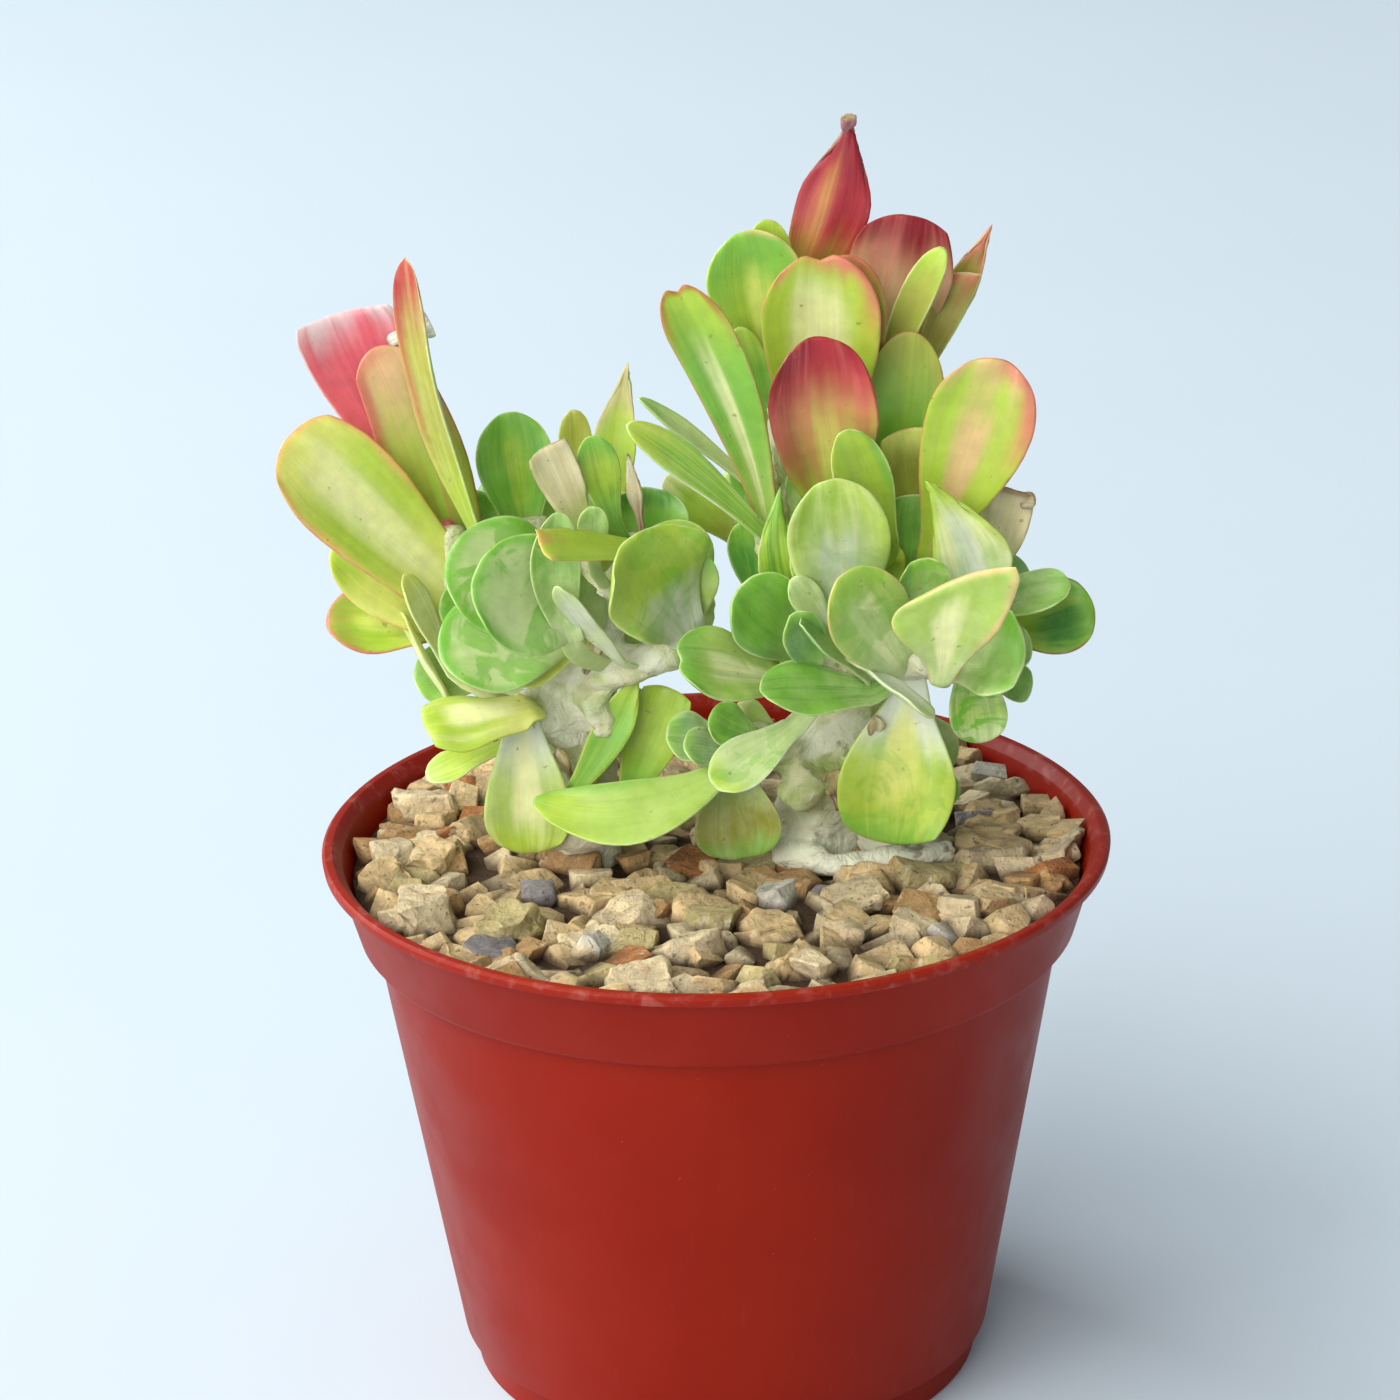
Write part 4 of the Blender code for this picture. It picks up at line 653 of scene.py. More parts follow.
class Finish:
    """A material in the making, with short ways to add and join its nodes. Its colour starts
    as one tone, and further tones are laid over it."""

    def __init__(self, name, roughness):
        self.material = bpy.data.materials.new(name)
        self.material.use_nodes = True
        self.tree = self.material.node_tree
        self.shader = self.tree.nodes["Principled BSDF"]
        self.shader.inputs["Roughness"].default_value = roughness
        self.place = self.tree.nodes.new("ShaderNodeTexCoord").outputs["Object"]
        self.colour = None

    def join(self, value, socket):
        """Links an output to a socket, or sets the socket to a plain value."""
        if isinstance(value, bpy.types.NodeSocket):
            self.tree.links.new(value, socket)
        elif isinstance(value, Color):
            socket.default_value = (*value, 1.0)
        else:
            socket.default_value = value

    def give(self, setting, value):
        """Sets or links one of the shader's own settings."""
        self.join(value, self.shader.inputs[setting])

    def over(self, share, tone):
        """Lays a share of a tone over the colour."""
        self.colour = self.mix(share, self.colour, tone)

    def shade(self, light):
        """Makes the colour darker or lighter by a factor."""
        self.colour = self.mix(1.0, self.colour, self.tone(light), "MULTIPLY")

    def finished(self):
        """The material, with its colour joined on."""
        self.give("Base Color", self.colour)
        return self.material

    def attribute(self, name, output="Color"):
        node = self.tree.nodes.new("ShaderNodeAttribute")
        node.attribute_name = name
        return node.outputs[output]

    def parts(self, vector):
        """The three numbers of a vector."""
        node = self.tree.nodes.new("ShaderNodeSeparateXYZ")
        self.join(vector, node.inputs[0])
        return node.outputs

    def scaled(self, vector, scale):
        node = self.tree.nodes.new("ShaderNodeVectorMath")
        node.operation = "MULTIPLY"
        self.join(vector, node.inputs[0])
        self.join(scale, node.inputs[1])
        return node.outputs["Vector"]

    def noise(self, scale, detail=4.0, place=None, distortion=0.0, roughness=0.55):
        node = self.tree.nodes.new("ShaderNodeTexNoise")
        self.join(place or self.place, node.inputs["Vector"])
        node.inputs["Scale"].default_value = scale
        node.inputs["Detail"].default_value = detail
        node.inputs["Roughness"].default_value = roughness
        node.inputs["Distortion"].default_value = distortion
        return node.outputs["Fac"]

    def step(self, value, low, high, to_low=0.0, to_high=1.0):
        """A soft step of a value from low to high."""
        node = self.tree.nodes.new("ShaderNodeMapRange")
        node.interpolation_type = "SMOOTHSTEP"
        self.join(value, node.inputs["Value"])
        self.join(low, node.inputs["From Min"])
        self.join(high, node.inputs["From Max"])
        node.inputs["To Min"].default_value = to_low
        node.inputs["To Max"].default_value = to_high
        return node.outputs["Result"]

    def reckon(self, operation, first, second):
        node = self.tree.nodes.new("ShaderNodeMath")
        node.operation = operation
        self.join(first, node.inputs[0])
        self.join(second, node.inputs[1])
        return node.outputs[0]

    def times(self, first, second):
        return self.reckon("MULTIPLY", first, second)

    def mix(self, share, first, second, blend="MIX"):
        node = self.tree.nodes.new("ShaderNodeMix")
        node.data_type = "RGBA"
        node.blend_type = blend
        self.join(share, node.inputs[0])
        self.join(first, node.inputs[6])
        self.join(second, node.inputs[7])
        return node.outputs[2]

    def tone(self, value):
        """A grey of that brightness, to multiply a colour by."""
        node = self.tree.nodes.new("ShaderNodeCombineColor")
        for channel in node.inputs:
            self.join(value, channel)
        return node.outputs["Color"]

    def bump(self, height, strength, distance):
        """Adds a relief, on top of any that the surface already has."""
        node = self.tree.nodes.new("ShaderNodeBump")
        node.inputs["Strength"].default_value = strength
        node.inputs["Distance"].default_value = distance
        self.join(height, node.inputs["Height"])
        normal = self.shader.inputs["Normal"]
        if normal.is_linked:
            self.join(normal.links[0].from_socket, node.inputs["Normal"])
        self.join(node.outputs["Normal"], normal)


def leaf_finish(name, tones):
    """Waxy leaf: the leaf's own colours, streaked lengthwise, splashed, frosted and rimmed."""
    skin = Finish(name, 0.42)
    spot = skin.attribute("spot", "Vector")
    streaks, splashes, frost = skin.parts(skin.attribute("marks", "Vector"))
    broad = skin.noise(1.0, 3.0, skin.scaled(spot, (3.2, 0.8, 13.0)), 0.9)
    thread = skin.noise(1.0, 2.0, skin.scaled(spot, (10.0, 1.5, 29.0)), 0.5)
    both = skin.reckon("ADD", skin.times(broad, 0.72), skin.times(thread, 0.28))
    skin.colour = skin.attribute("hue")
    skin.over(skin.times(skin.step(both, 0.42, 0.68), streaks), skin.attribute("streak"))
    patches = skin.step(skin.noise(85.0, 3.0, distortion=1.4), 0.5, 0.57)
    splashed = skin.times(patches, splashes)
    skin.over(splashed, tones.splash)
    rubbed = skin.step(skin.noise(130.0, 7.0, roughness=0.7), 0.36, 0.68)
    bare = skin.step(splashed, 0.0, 1.0, 1.0, 0.2)
    bloom = skin.times(skin.times(rubbed, frost), bare)
    skin.over(bloom, tones.bloom)
    rim = skin.step(skin.attribute("edge", "Fac"), 1.0, 0.0)
    broken = skin.step(skin.noise(220.0, 2.0), 0.3, 0.6, 0.15, 0.7)
    skin.over(skin.times(rim, broken), skin.attribute("rim_hue"))
    skin.over(skin.step(skin.noise(520.0, 2.0), 0.7, 0.76, 0.0, 0.5), tones.brown)
    skin.shade(skin.step(skin.noise(300.0, 5.0), 0.2, 0.8, 0.9, 1.08))
    skin.give("Roughness", skin.step(bloom, 0.0, 0.7, 0.36, 0.62))
    skin.give("Specular IOR Level", 0.42)
    skin.give("Subsurface Weight", 0.16)
    skin.give("Subsurface Radius", (0.9, 1.0, 0.35))
    skin.give("Subsurface Scale", 0.003)
    skin.bump(both, 0.25, 0.0006)
    skin.bump(skin.noise(420.0, 4.0), 0.12, 0.0004)
    return skin.finished()


def bark_finish(name, tones):
    """Corky stem: cream and pale green, whitish in patches and at the foot, with small scars."""
    bark = Finish(name, 0.75)
    cloud = bark.noise(110.0, 6.0, distortion=0.8)
    bark.colour = bark.mix(bark.step(cloud, 0.36, 0.6), tones.bark_green, tones.bark)
    low = bark.step(bark.parts(bark.place)[2], *[height * MM for height in WHITE_FOOT])
    white = bark.step(bark.noise(75.0, 6.0, distortion=1.0), 0.46, 0.6)
    bark.over(bark.times(bark.reckon("MAXIMUM", white, low), 0.75), tones.bark_white)
    creases = bark.noise(190.0, 5.0, distortion=2.2, roughness=0.6)
    bark.over(bark.step(creases, 0.4, 0.3, 0.0, 0.6), tones.tan)
    bark.over(bark.step(bark.noise(260.0, 5.0), 0.62, 0.72, 0.0, 0.6), tones.brown)
    bark.bump(cloud, 0.5, 0.0015)
    bark.bump(creases, 0.7, 0.0015)
    bark.bump(bark.noise(700.0, 6.0), 0.4, 0.0003)
    return bark.finished()


def stone_finish(name, tones):
    """Broken stone: each its own tint, with stains, pits, a gritty face and painted shade in the
    gaps.
    """
    stone = Finish(name, 0.88)
    stone.colour = stone.attribute("tint")
    cloud = stone.noise(210.0, 8.0, distortion=0.6, roughness=0.68)
    stone.shade(stone.step(cloud, 0.3, 0.72, 0.66, 1.22))
    stain = stone.noise(95.0, 6.0, distortion=1.4)
    stone.over(stone.step(stain, 0.58, 0.74, 0.0, 0.5), tones.stone_rust)
    pale = stone.noise(330.0, 7.0, roughness=0.65)
    stone.over(stone.step(pale, 0.56, 0.7, 0.0, 0.6), tones.stone_pale)
    pits = stone.noise(640.0, 5.0)
    stone.over(stone.step(pits, 0.6, 0.68, 0.0, 0.6), tones.dark_grit_and_gap_shade)
    # Painted shade: the stones darken towards the bed, standing for the shadow in the gaps between
    # them
    low = stone.step(stone.parts(stone.place)[2], *[height * MM for height in PAINTED_GAP_SHADE], 0.0, 0.9)
    stone.over(low, tones.dark_grit_and_gap_shade)
    stone.give("Specular IOR Level", 0.3)
    stone.bump(cloud, 1.0, 0.0022)
    stone.bump(stone.noise(480.0, 6.0, roughness=0.65), 0.9, 0.001)
    stone.bump(stone.noise(1300.0, 4.0), 0.5, 0.0002)
    return stone.finished()


def soil_finish(name, tones):
    """Dark, crumbly mix with paler grit."""
    soil = Finish(name, 0.95)
    crumb = soil.noise(420.0, 8.0, roughness=0.7)
    soil.colour = soil.mix(soil.step(crumb, 0.35, 0.65), tones.soil, tones.soil_light)
    soil.over(soil.step(soil.noise(900.0, 3.0), 0.66, 0.7, 0.0, 0.7), tones.tan)
    soil.bump(crumb, 0.9, 0.002)
    return soil.finished()


def plastic_finish(name, tones):
    """Moulded plastic with a dull satin bloom, dust marks and a scuffed, paler lip."""
    plastic = Finish(name, 0.4)
    cloud = plastic.step(plastic.noise(22.0, 4.0), 0.3, 0.7)
    plastic.colour = plastic.mix(cloud, tones.plastic, tones.plastic_light)
    lip = plastic.step(plastic.parts(plastic.place)[2], *[height * MM for height in SCUFFED_LIP])
    worn = plastic.step(plastic.noise(260.0, 6.0, distortion=0.5), 0.5, 0.74, 0.02, 0.2)
    plastic.over(plastic.times(lip, worn), tones.scuff)
    streak = plastic.noise(1.0, 4.0, plastic.scaled(plastic.place, (520.0, 520.0, 45.0)))
    plastic.over(plastic.step(streak, 0.64, 0.8, 0.0, 0.03), tones.scuff)
    plastic.over(plastic.step(plastic.noise(1500.0, 1.0), 0.8, 0.84, 0.0, 0.4), tones.scuff)
    plastic.give("Roughness", plastic.step(plastic.noise(60.0, 5.0), 0.3, 0.7, 0.36, 0.48))
    plastic.give("Specular IOR Level", 0.1)
    plastic.bump(plastic.noise(1400.0, 3.0), 0.06, 0.0002)
    plastic.bump(plastic.noise(45.0, 2.0), 0.05, 0.001)
    return plastic.finished()


def floor_finish(name, colour):
    """Plain pale paper with the faintest grain."""
    paper = Finish(name, 0.85)
    paper.colour = colour
    paper.shade(paper.step(paper.noise(6.0, 3.0), 0.2, 0.8, 0.985, 1.0))
    paper.give("Specular IOR Level", 0.1)
    return paper.finished()


def blend(first, second, share):
    return [a + (b - a) * share for a, b in zip(first, second)]


def ease(value, low, high):
    """A soft step from 0 to 1 between low and high."""
    share = max(0.0, min(1.0, (value - low) / (high - low)))
    return share * share * (3.0 - 2.0 * share)


def relief(place, layers, shift=(0.0, 0.0, 0.0)):
    """How far a rough surface stands out at a place: layers of noise, each with how fine it
    is, how much finer it is upwards, and its height."""
    total = 0.0
    for scale, squash, height in layers:
        spot = Vector((place.x, place.y, place.z * squash)) * scale + Vector(shift)
        total += height * noise.noise(spot)
    return total


def roughen(solid, height):
    """Moves every corner out along its normal, by the height for its place."""
    solid.normal_update()
    for corner in solid.verts:
        corner.co += corner.normal * height(corner.co)


def back_leaves(name, places, seed):
    """The far side's leaves, which look back and up, with small seeded changes of shape."""
    draw = random.Random(seed)
    leaves = []
    for number, (root, tip, width) in enumerate(places):
        face = (draw.uniform(-0.3, 0.3), 0.45, -1)
        leaves.append(Leaf(f"{name}_{number}", root, tip, width, face, wide=draw.uniform(0.58, 0.7),
                           stalk=0.42, cup=draw.uniform(0.15, 0.35), sway=draw.uniform(-0.04, 0.04)))
    return tuple(leaves)


def mesh_of(name, solid):
    """A bmesh as a mesh; the bmesh itself is freed."""
    mesh = bpy.data.meshes.new(name)
    solid.to_mesh(mesh)
    solid.free()
    return mesh


def placed(name, data):
    """A new object in the scene."""
    item = bpy.data.objects.new(name, data)
    bpy.context.scene.collection.objects.link(item)
    return item


def new_piece(name, mesh, material, node):
    """Links a finished mesh as a piece that rides on the root and stands for a node."""
    piece = placed(name, mesh)
    piece.data.materials.clear()
    piece.data.materials.append(material)
    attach(piece, "root")
    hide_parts(node)
    return piece


def baked(item):
    """The item's mesh with its modifiers applied; the item itself is removed."""
    depsgraph = bpy.context.evaluated_depsgraph_get()
    mesh = bpy.data.meshes.new_from_object(item.evaluated_get(depsgraph))
    bpy.data.objects.remove(item, do_unlink=True)
    return mesh


def pot_inside():
    """The pot's inner surface as (radius, height), from the floor to the lip."""
    collar = POT_HEIGHT - COLLAR_HEIGHT
    return (
        (FOOT_RADIUS - WALL, FLOOR),
        (FOOT_RADIUS - WALL, FOOT_HEIGHT - INNER_FOOT_DROP),
        (BODY_LOW_RADIUS - WALL, FOOT_HEIGHT + INNER_FOOT_RISE),
        (BODY_TOP_RADIUS - WALL, collar + COLLAR_LEDGE),
        (COLLAR_LOW_RADIUS - WALL, collar + (COLLAR_LEDGE + COLLAR_BEND)),
        (COLLAR_TOP_RADIUS - WALL, POT_HEIGHT - LIP_THICKNESS),
        (RIM_RADIUS - LIP_WIDTH, POT_HEIGHT - LIP_DROP),
    )


def pot_outside():
    """The pot's outer surface as (radius, height), from the lip down to the foot."""
    collar = POT_HEIGHT - COLLAR_HEIGHT
    under_lip = POT_HEIGHT - LIP_THICKNESS
    return (
        (RIM_RADIUS - LIP_WIDTH + LIP_FLAT, POT_HEIGHT),
        (RIM_RADIUS - EDGE, POT_HEIGHT),
        (RIM_RADIUS, POT_HEIGHT - EDGE),
        (RIM_RADIUS - LIP_TAPER, under_lip),
        (COLLAR_TOP_RADIUS, under_lip),
        (COLLAR_LOW_RADIUS, collar + COLLAR_BEND),
        (COLLAR_LOW_RADIUS - COLLAR_LEDGE, collar),
        (BODY_TOP_RADIUS, collar - EDGE),
        (BODY_LOW_RADIUS, FOOT_HEIGHT),
        (FOOT_RADIUS, FOOT_HEIGHT - FOOT_BEND),
        (FOOT_RADIUS, EDGE),
        (FOOT_RADIUS - EDGE, 0.0),
        (0.0, 0.0),
    )


def inner_radius(height):
    """The pot's inside radius at a height, in millimetres."""
    inside = pot_inside()
    for (radius_a, low), (radius_b, high) in zip(inside, inside[1:]):
        if height <= high:
            share = max(0.0, (height - low) / (high - low))
            return radius_a + share * (radius_b - radius_a)
    return inside[-1][0]


def turned_pot(steps):
    """The pot's outline turned round its axis."""
    solid = bmesh.new()
    profile = ((0.0, FLOOR),) + pot_inside() + pot_outside()
    knots = [solid.verts.new((radius * MM, 0.0, height * MM)) for radius, height in profile]
    lines = [solid.edges.new(pair) for pair in zip(knots, knots[1:])]
    bmesh.ops.spin(solid, geom=knots + lines, axis=(0, 0, 1), cent=(0, 0, 0), dvec=(0, 0, 0),
                   angle=math.tau, steps=steps, use_merge=True, use_duplicate=False)
    bmesh.ops.remove_doubles(solid, verts=solid.verts, dist=0.02 * MM)
    bmesh.ops.recalc_face_normals(solid, faces=solid.faces)
    return mesh_of("pot", solid)


def drain_holes():
    """Round cutters through the pot's floor, in a ring."""
    holes = bmesh.new()
    radius = DRAIN_RADIUS * MM
    for number in range(DRAIN_HOLES):
        angle = math.tau * (number + DRAIN_TURN) / DRAIN_HOLES
        place = Matrix.Translation((DRAIN_CIRCLE * math.cos(angle) * MM,
                                    DRAIN_CIRCLE * math.sin(angle) * MM, FLOOR / 2.0 * MM))
        bmesh.ops.create_cone(holes, cap_ends=True, segments=32, radius1=radius, radius2=radius,
                              depth=(FLOOR + 2.0 * CUT_OVER) * MM, matrix=place)
    return mesh_of("drain", holes)


def pot_mesh(steps):
    """The turned pot with its drain holes cut and its edges softened."""
    pot = placed("pot_blank", turned_pot(steps))
    cutter = placed("drain_cutter", drain_holes())
    cut = pot.modifiers.new("drain", "BOOLEAN")
    cut.object = cutter
    cut.solver = "EXACT"
    soften = pot.modifiers.new("soften", "BEVEL")
    soften.width = POT_BEVEL * MM
    soften.segments = 2
    soften.limit_method = "ANGLE"
    soften.angle_limit = math.radians(22.0)
    soften.harden_normals = False
    mesh = baked(pot)
    bpy.data.objects.remove(cutter, do_unlink=True)
    mesh.shade_smooth()
    mesh.set_sharp_from_angle(angle=math.radians(40.0))
    return mesh


def stone_spots(count, spacing, circle, seed, clear_of=()):
    """Where stones lie: darts thrown until the dressing is covered, none closer than the
    spacing, and none on a trunk."""
    draw = random.Random(seed)
    spots = []
    tries = 0
    while len(spots) < count and tries < MOST_THROWS:
        tries += 1
        reach = circle * math.sqrt(draw.random())
        angle = math.tau * draw.random()
        here = Vector((reach * math.cos(angle), reach * math.sin(angle)))
        if any((here - Vector((x, y))).length < radius for x, y, radius in clear_of):
            continue
        if all((here - other).length >= spacing for other in spots):
            spots.append(here)
    return spots


def near_wall(here):
    """How near the wall a spot lies, from 0 to 1."""
    return min(1.0, max(0.0, (here.length - WALL_FROM) / WALL_OVER))


def stone_block(solid, here, draw, scale, drop):
    """The corners of one angular stone: a block with uneven corners, tilted and turned."""
    made = bmesh.ops.create_cube(solid, size=2.0)["verts"]
    for corner in made:
        for axis in range(3):
            corner.co[axis] *= draw.uniform(*STONE_CORNERS)
    size = Vector([draw.uniform(*span) for span in STONE_HALF_SIZES])
    turn = Matrix.Identity(4)
    for least, most, axis in STONE_TURNS:
        turn = turn @ Matrix.Rotation(draw.uniform(least, most), 4, axis)
    bmesh.ops.transform(solid, matrix=turn @ Matrix.Diagonal((*(size * scale), 1.0)), verts=made)
    highest = max(corner.co.z for corner in made)
    frontness = min(1.0, max(0.0, -here.y - FRONT_FROM) / FRONT_OVER)
    top = STONE_TOP + (FRONT_STONE_TOP - STONE_TOP) * frontness + draw.uniform(-STONE_SINK, 0.0)
    top += (STONE_LIFT + STONE_HEAP * near_wall(here)) * (1.0 - frontness)
    bmesh.ops.translate(solid, verts=made, vec=(here.x, here.y, top - drop - highest))
    for corner in made:
        flat = Vector((corner.co.x, corner.co.y))
        limit = inner_radius(corner.co.z) - WALL_GAP
        if flat.length > limit:
            flat *= limit / flat.length
            corner.co.x = flat.x
            corner.co.y = flat.y
        corner.co.z = max(corner.co.z, BED_TOP - STONE_DEPTH)


def break_off(solid, cuts, draw):
    """Knocks corners off a block: flat cuts in any direction, each closed with a new face."""
    middle = sum((corner.co for corner in solid.verts), Vector()) / len(solid.verts)
    for _ in range(cuts):
        way = Vector([draw.gauss(0.0, 1.0) for _ in range(3)]).normalized()
        reach = max((corner.co - middle).dot(way) for corner in solid.verts)
        geom = solid.verts[:] + solid.edges[:] + solid.faces[:]
        cut = bmesh.ops.bisect_plane(solid, geom=geom, dist=0.01, clear_outer=True, plane_no=way,
                                     plane_co=middle + way * reach * draw.uniform(*STONE_CUTS))
        rim = [item for item in cut["geom_cut"] if isinstance(item, bmesh.types.BMEdge)]
        bmesh.ops.holes_fill(solid, edges=rim, sides=0)


def rough_stone(solid, grade, number):
    """Wears a block's edges and breaks its faces up, in millimetres."""
    bmesh.ops.remove_doubles(solid, verts=solid.verts, dist=0.15)
    bmesh.ops.recalc_face_normals(solid, faces=solid.faces)
    bmesh.ops.bevel(solid, geom=solid.edges[:], offset=grade.worn, segments=1, profile=0.5,
                    affect="EDGES", material=-1, clamp_overlap=True)
    if grade.fine:
        bmesh.ops.triangulate(solid, faces=solid.faces)
        for longest in STONE_EDGES:
            long_edges = [edge for edge in solid.edges if edge.calc_length() > longest]
            bmesh.ops.subdivide_edges(solid, edges=long_edges, cuts=1)
            bmesh.ops.triangulate(solid, faces=solid.faces)
    # The number gives every stone a stretch of noise of its own
    shift = (number * 7.3, number * 3.1, 0.0)
    roughen(solid, lambda place: grade.rough * relief(place, STONE_RELIEF, shift))


def stones(settings):
    """Each stone's spot, random source, scale, drop and grade: first the large ones, on the
    part's spots but spread out beside the wall, then the small ones between them."""
    own = random.Random(STONE_SEED + 1)
    for here in stone_spots(STONE_COUNT, STONE_SPACING, STONE_CIRCLE, STONE_SEED):
        spread = here * (1.0 + STONE_SPREAD * near_wall(here))
        yield spread, own, LARGE_STONE, -LARGE_STONE_RISE, LARGE
    trunks = tuple((x, y, radius + TRUNK_GAP) for x, y, radius in LEFT_FEET + RIGHT_FEET)
    extra = random.Random(settings.seed)
    spots = stone_spots(settings.fillers, settings.filler_spacing, SMALL_STONE_CIRCLE,
                        settings.seed + 1, trunks)
    sizes = [(extra.uniform(*SMALL_STONES), extra.uniform(*SMALL_STONE_DROPS)) for _ in spots]
    for here, (scale, drop) in zip(spots, sizes):
        yield here, extra, scale, drop, SMALL


def stone_bed(tones):
    """The bed that the stones lie in, with a rough top, tinted dark as painted shade in the gaps."""
    bed = bmesh.new()
    tint = bed.verts.layers.float_color.new("tint")
    floor = MIX_TOP + CLEARANCE
    low_radius = inner_radius(floor) - BED_GAP
    bmesh.ops.create_circle(bed, cap_ends=True, segments=BED_STEPS, radius=low_radius * MM)
    bmesh.ops.translate(bed, verts=bed.verts, vec=(0, 0, floor * MM))
    top = bmesh.ops.extrude_face_region(bed, geom=bed.faces[:])["geom"]
    lid = [item for item in top if isinstance(item, bmesh.types.BMFace)]
    raised = [item for item in top if isinstance(item, bmesh.types.BMVert)]
    bmesh.ops.translate(bed, verts=raised, vec=(0, 0, (BED_TOP - floor) * MM))
    flare = (inner_radius(BED_TOP) - BED_GAP) / low_radius
    bmesh.ops.scale(bed, verts=raised, vec=(flare, flare, 1.0))
    for _ in range(BED_RINGS):
        bmesh.ops.inset_region(bed, faces=lid, thickness=BED_RING * MM)
    # The bed's dark tint is painted shade, for the shadow in the gaps between the stones
    for corner in bed.verts:
        corner[tint] = (*tones.dark_grit_and_gap_shade, 1.0)
        if corner.co.z > (BED_TOP - HAIR) * MM:
            corner.co.z += BED_RELIEF * MM * noise.noise(corner.co * 300.0)
    bmesh.ops.recalc_face_normals(bed, faces=bed.faces)
    return bed


def gravel_mesh(settings):
    """The dressing: the large stones, the small ones and the bed."""
    kinds = (settings.stone_tan, settings.stone_beige, settings.stone_olive, settings.stone_brown,
             settings.stone_rust, settings.stone_mauve, settings.stone_white)
    heap = bmesh.new()
    heap.verts.layers.float_color.new("tint")
    tinting = random.Random(settings.seed + 2)
    hammer = random.Random(settings.seed + 3)
    for number, (here, draw, scale, drop, grade) in enumerate(stones(settings)):
        solid = bmesh.new()
        tint = solid.verts.layers.float_color.new("tint")
        stone_block(solid, here, draw, scale, drop)
        break_off(solid, grade.cuts, hammer)
        rough_stone(solid, grade, number)
        kind = tinting.choices(kinds, STONE_SHARES)[0]
        light = tinting.uniform(*STONE_LIGHT)
        for corner in solid.verts:
            corner[tint] = (*[channel * light for channel in kind], 1.0)
            corner.co.z = min(corner.co.z, POT_HEIGHT - HAIR)
            corner.co *= MM
        pour(solid, heap)
    pour(stone_bed(settings), heap)
    mesh = mesh_of("gravel_dressing", heap)
    mesh.shade_smooth()
    mesh.set_sharp_from_angle(angle=math.radians(32.0))
    return mesh


def pour(solid, heap):
    """Adds one solid to a heap of them and frees it."""
    mesh = mesh_of("poured", solid)
    heap.from_mesh(mesh)
    bpy.data.meshes.remove(mesh)


def branch_lines(feet, branches):
    """Each line as (point, radius) pairs in millimetres: first a trunk for each foot, up
    to where the branch of the same number starts, then the branches."""
    limbs = [[(VIEW.spot(*spot), radius) for *spot, radius in branch] for branch in branches]
    bottom = MIX_TOP - STEM_HOLE_DEPTH + STEM_SINK
    trunks = []
    for (x, y, radius), limb in zip(feet, limbs):
        trunks.append([(Vector((x, y, bottom)), radius), (Vector((x, y, TRUNK_TOP)), radius),
                       limb[0]])
    return trunks + limbs


def nearest_on(lines, point):
    """The nearest point of the branches to a point, with the branch's radius there."""
    best = None
    for line in lines:
        for (start, radius_a), (end, radius_b) in zip(line, line[1:]):
            run = end - start
            share = max(0.0, min(1.0, (point - start).dot(run) / run.length_squared))
            place = start + run * share
            gap = (point - place).length
            if best is None or gap < best[0]:
                best = (gap, place, radius_a + (radius_b - radius_a) * share)
    return best[1], best[2]


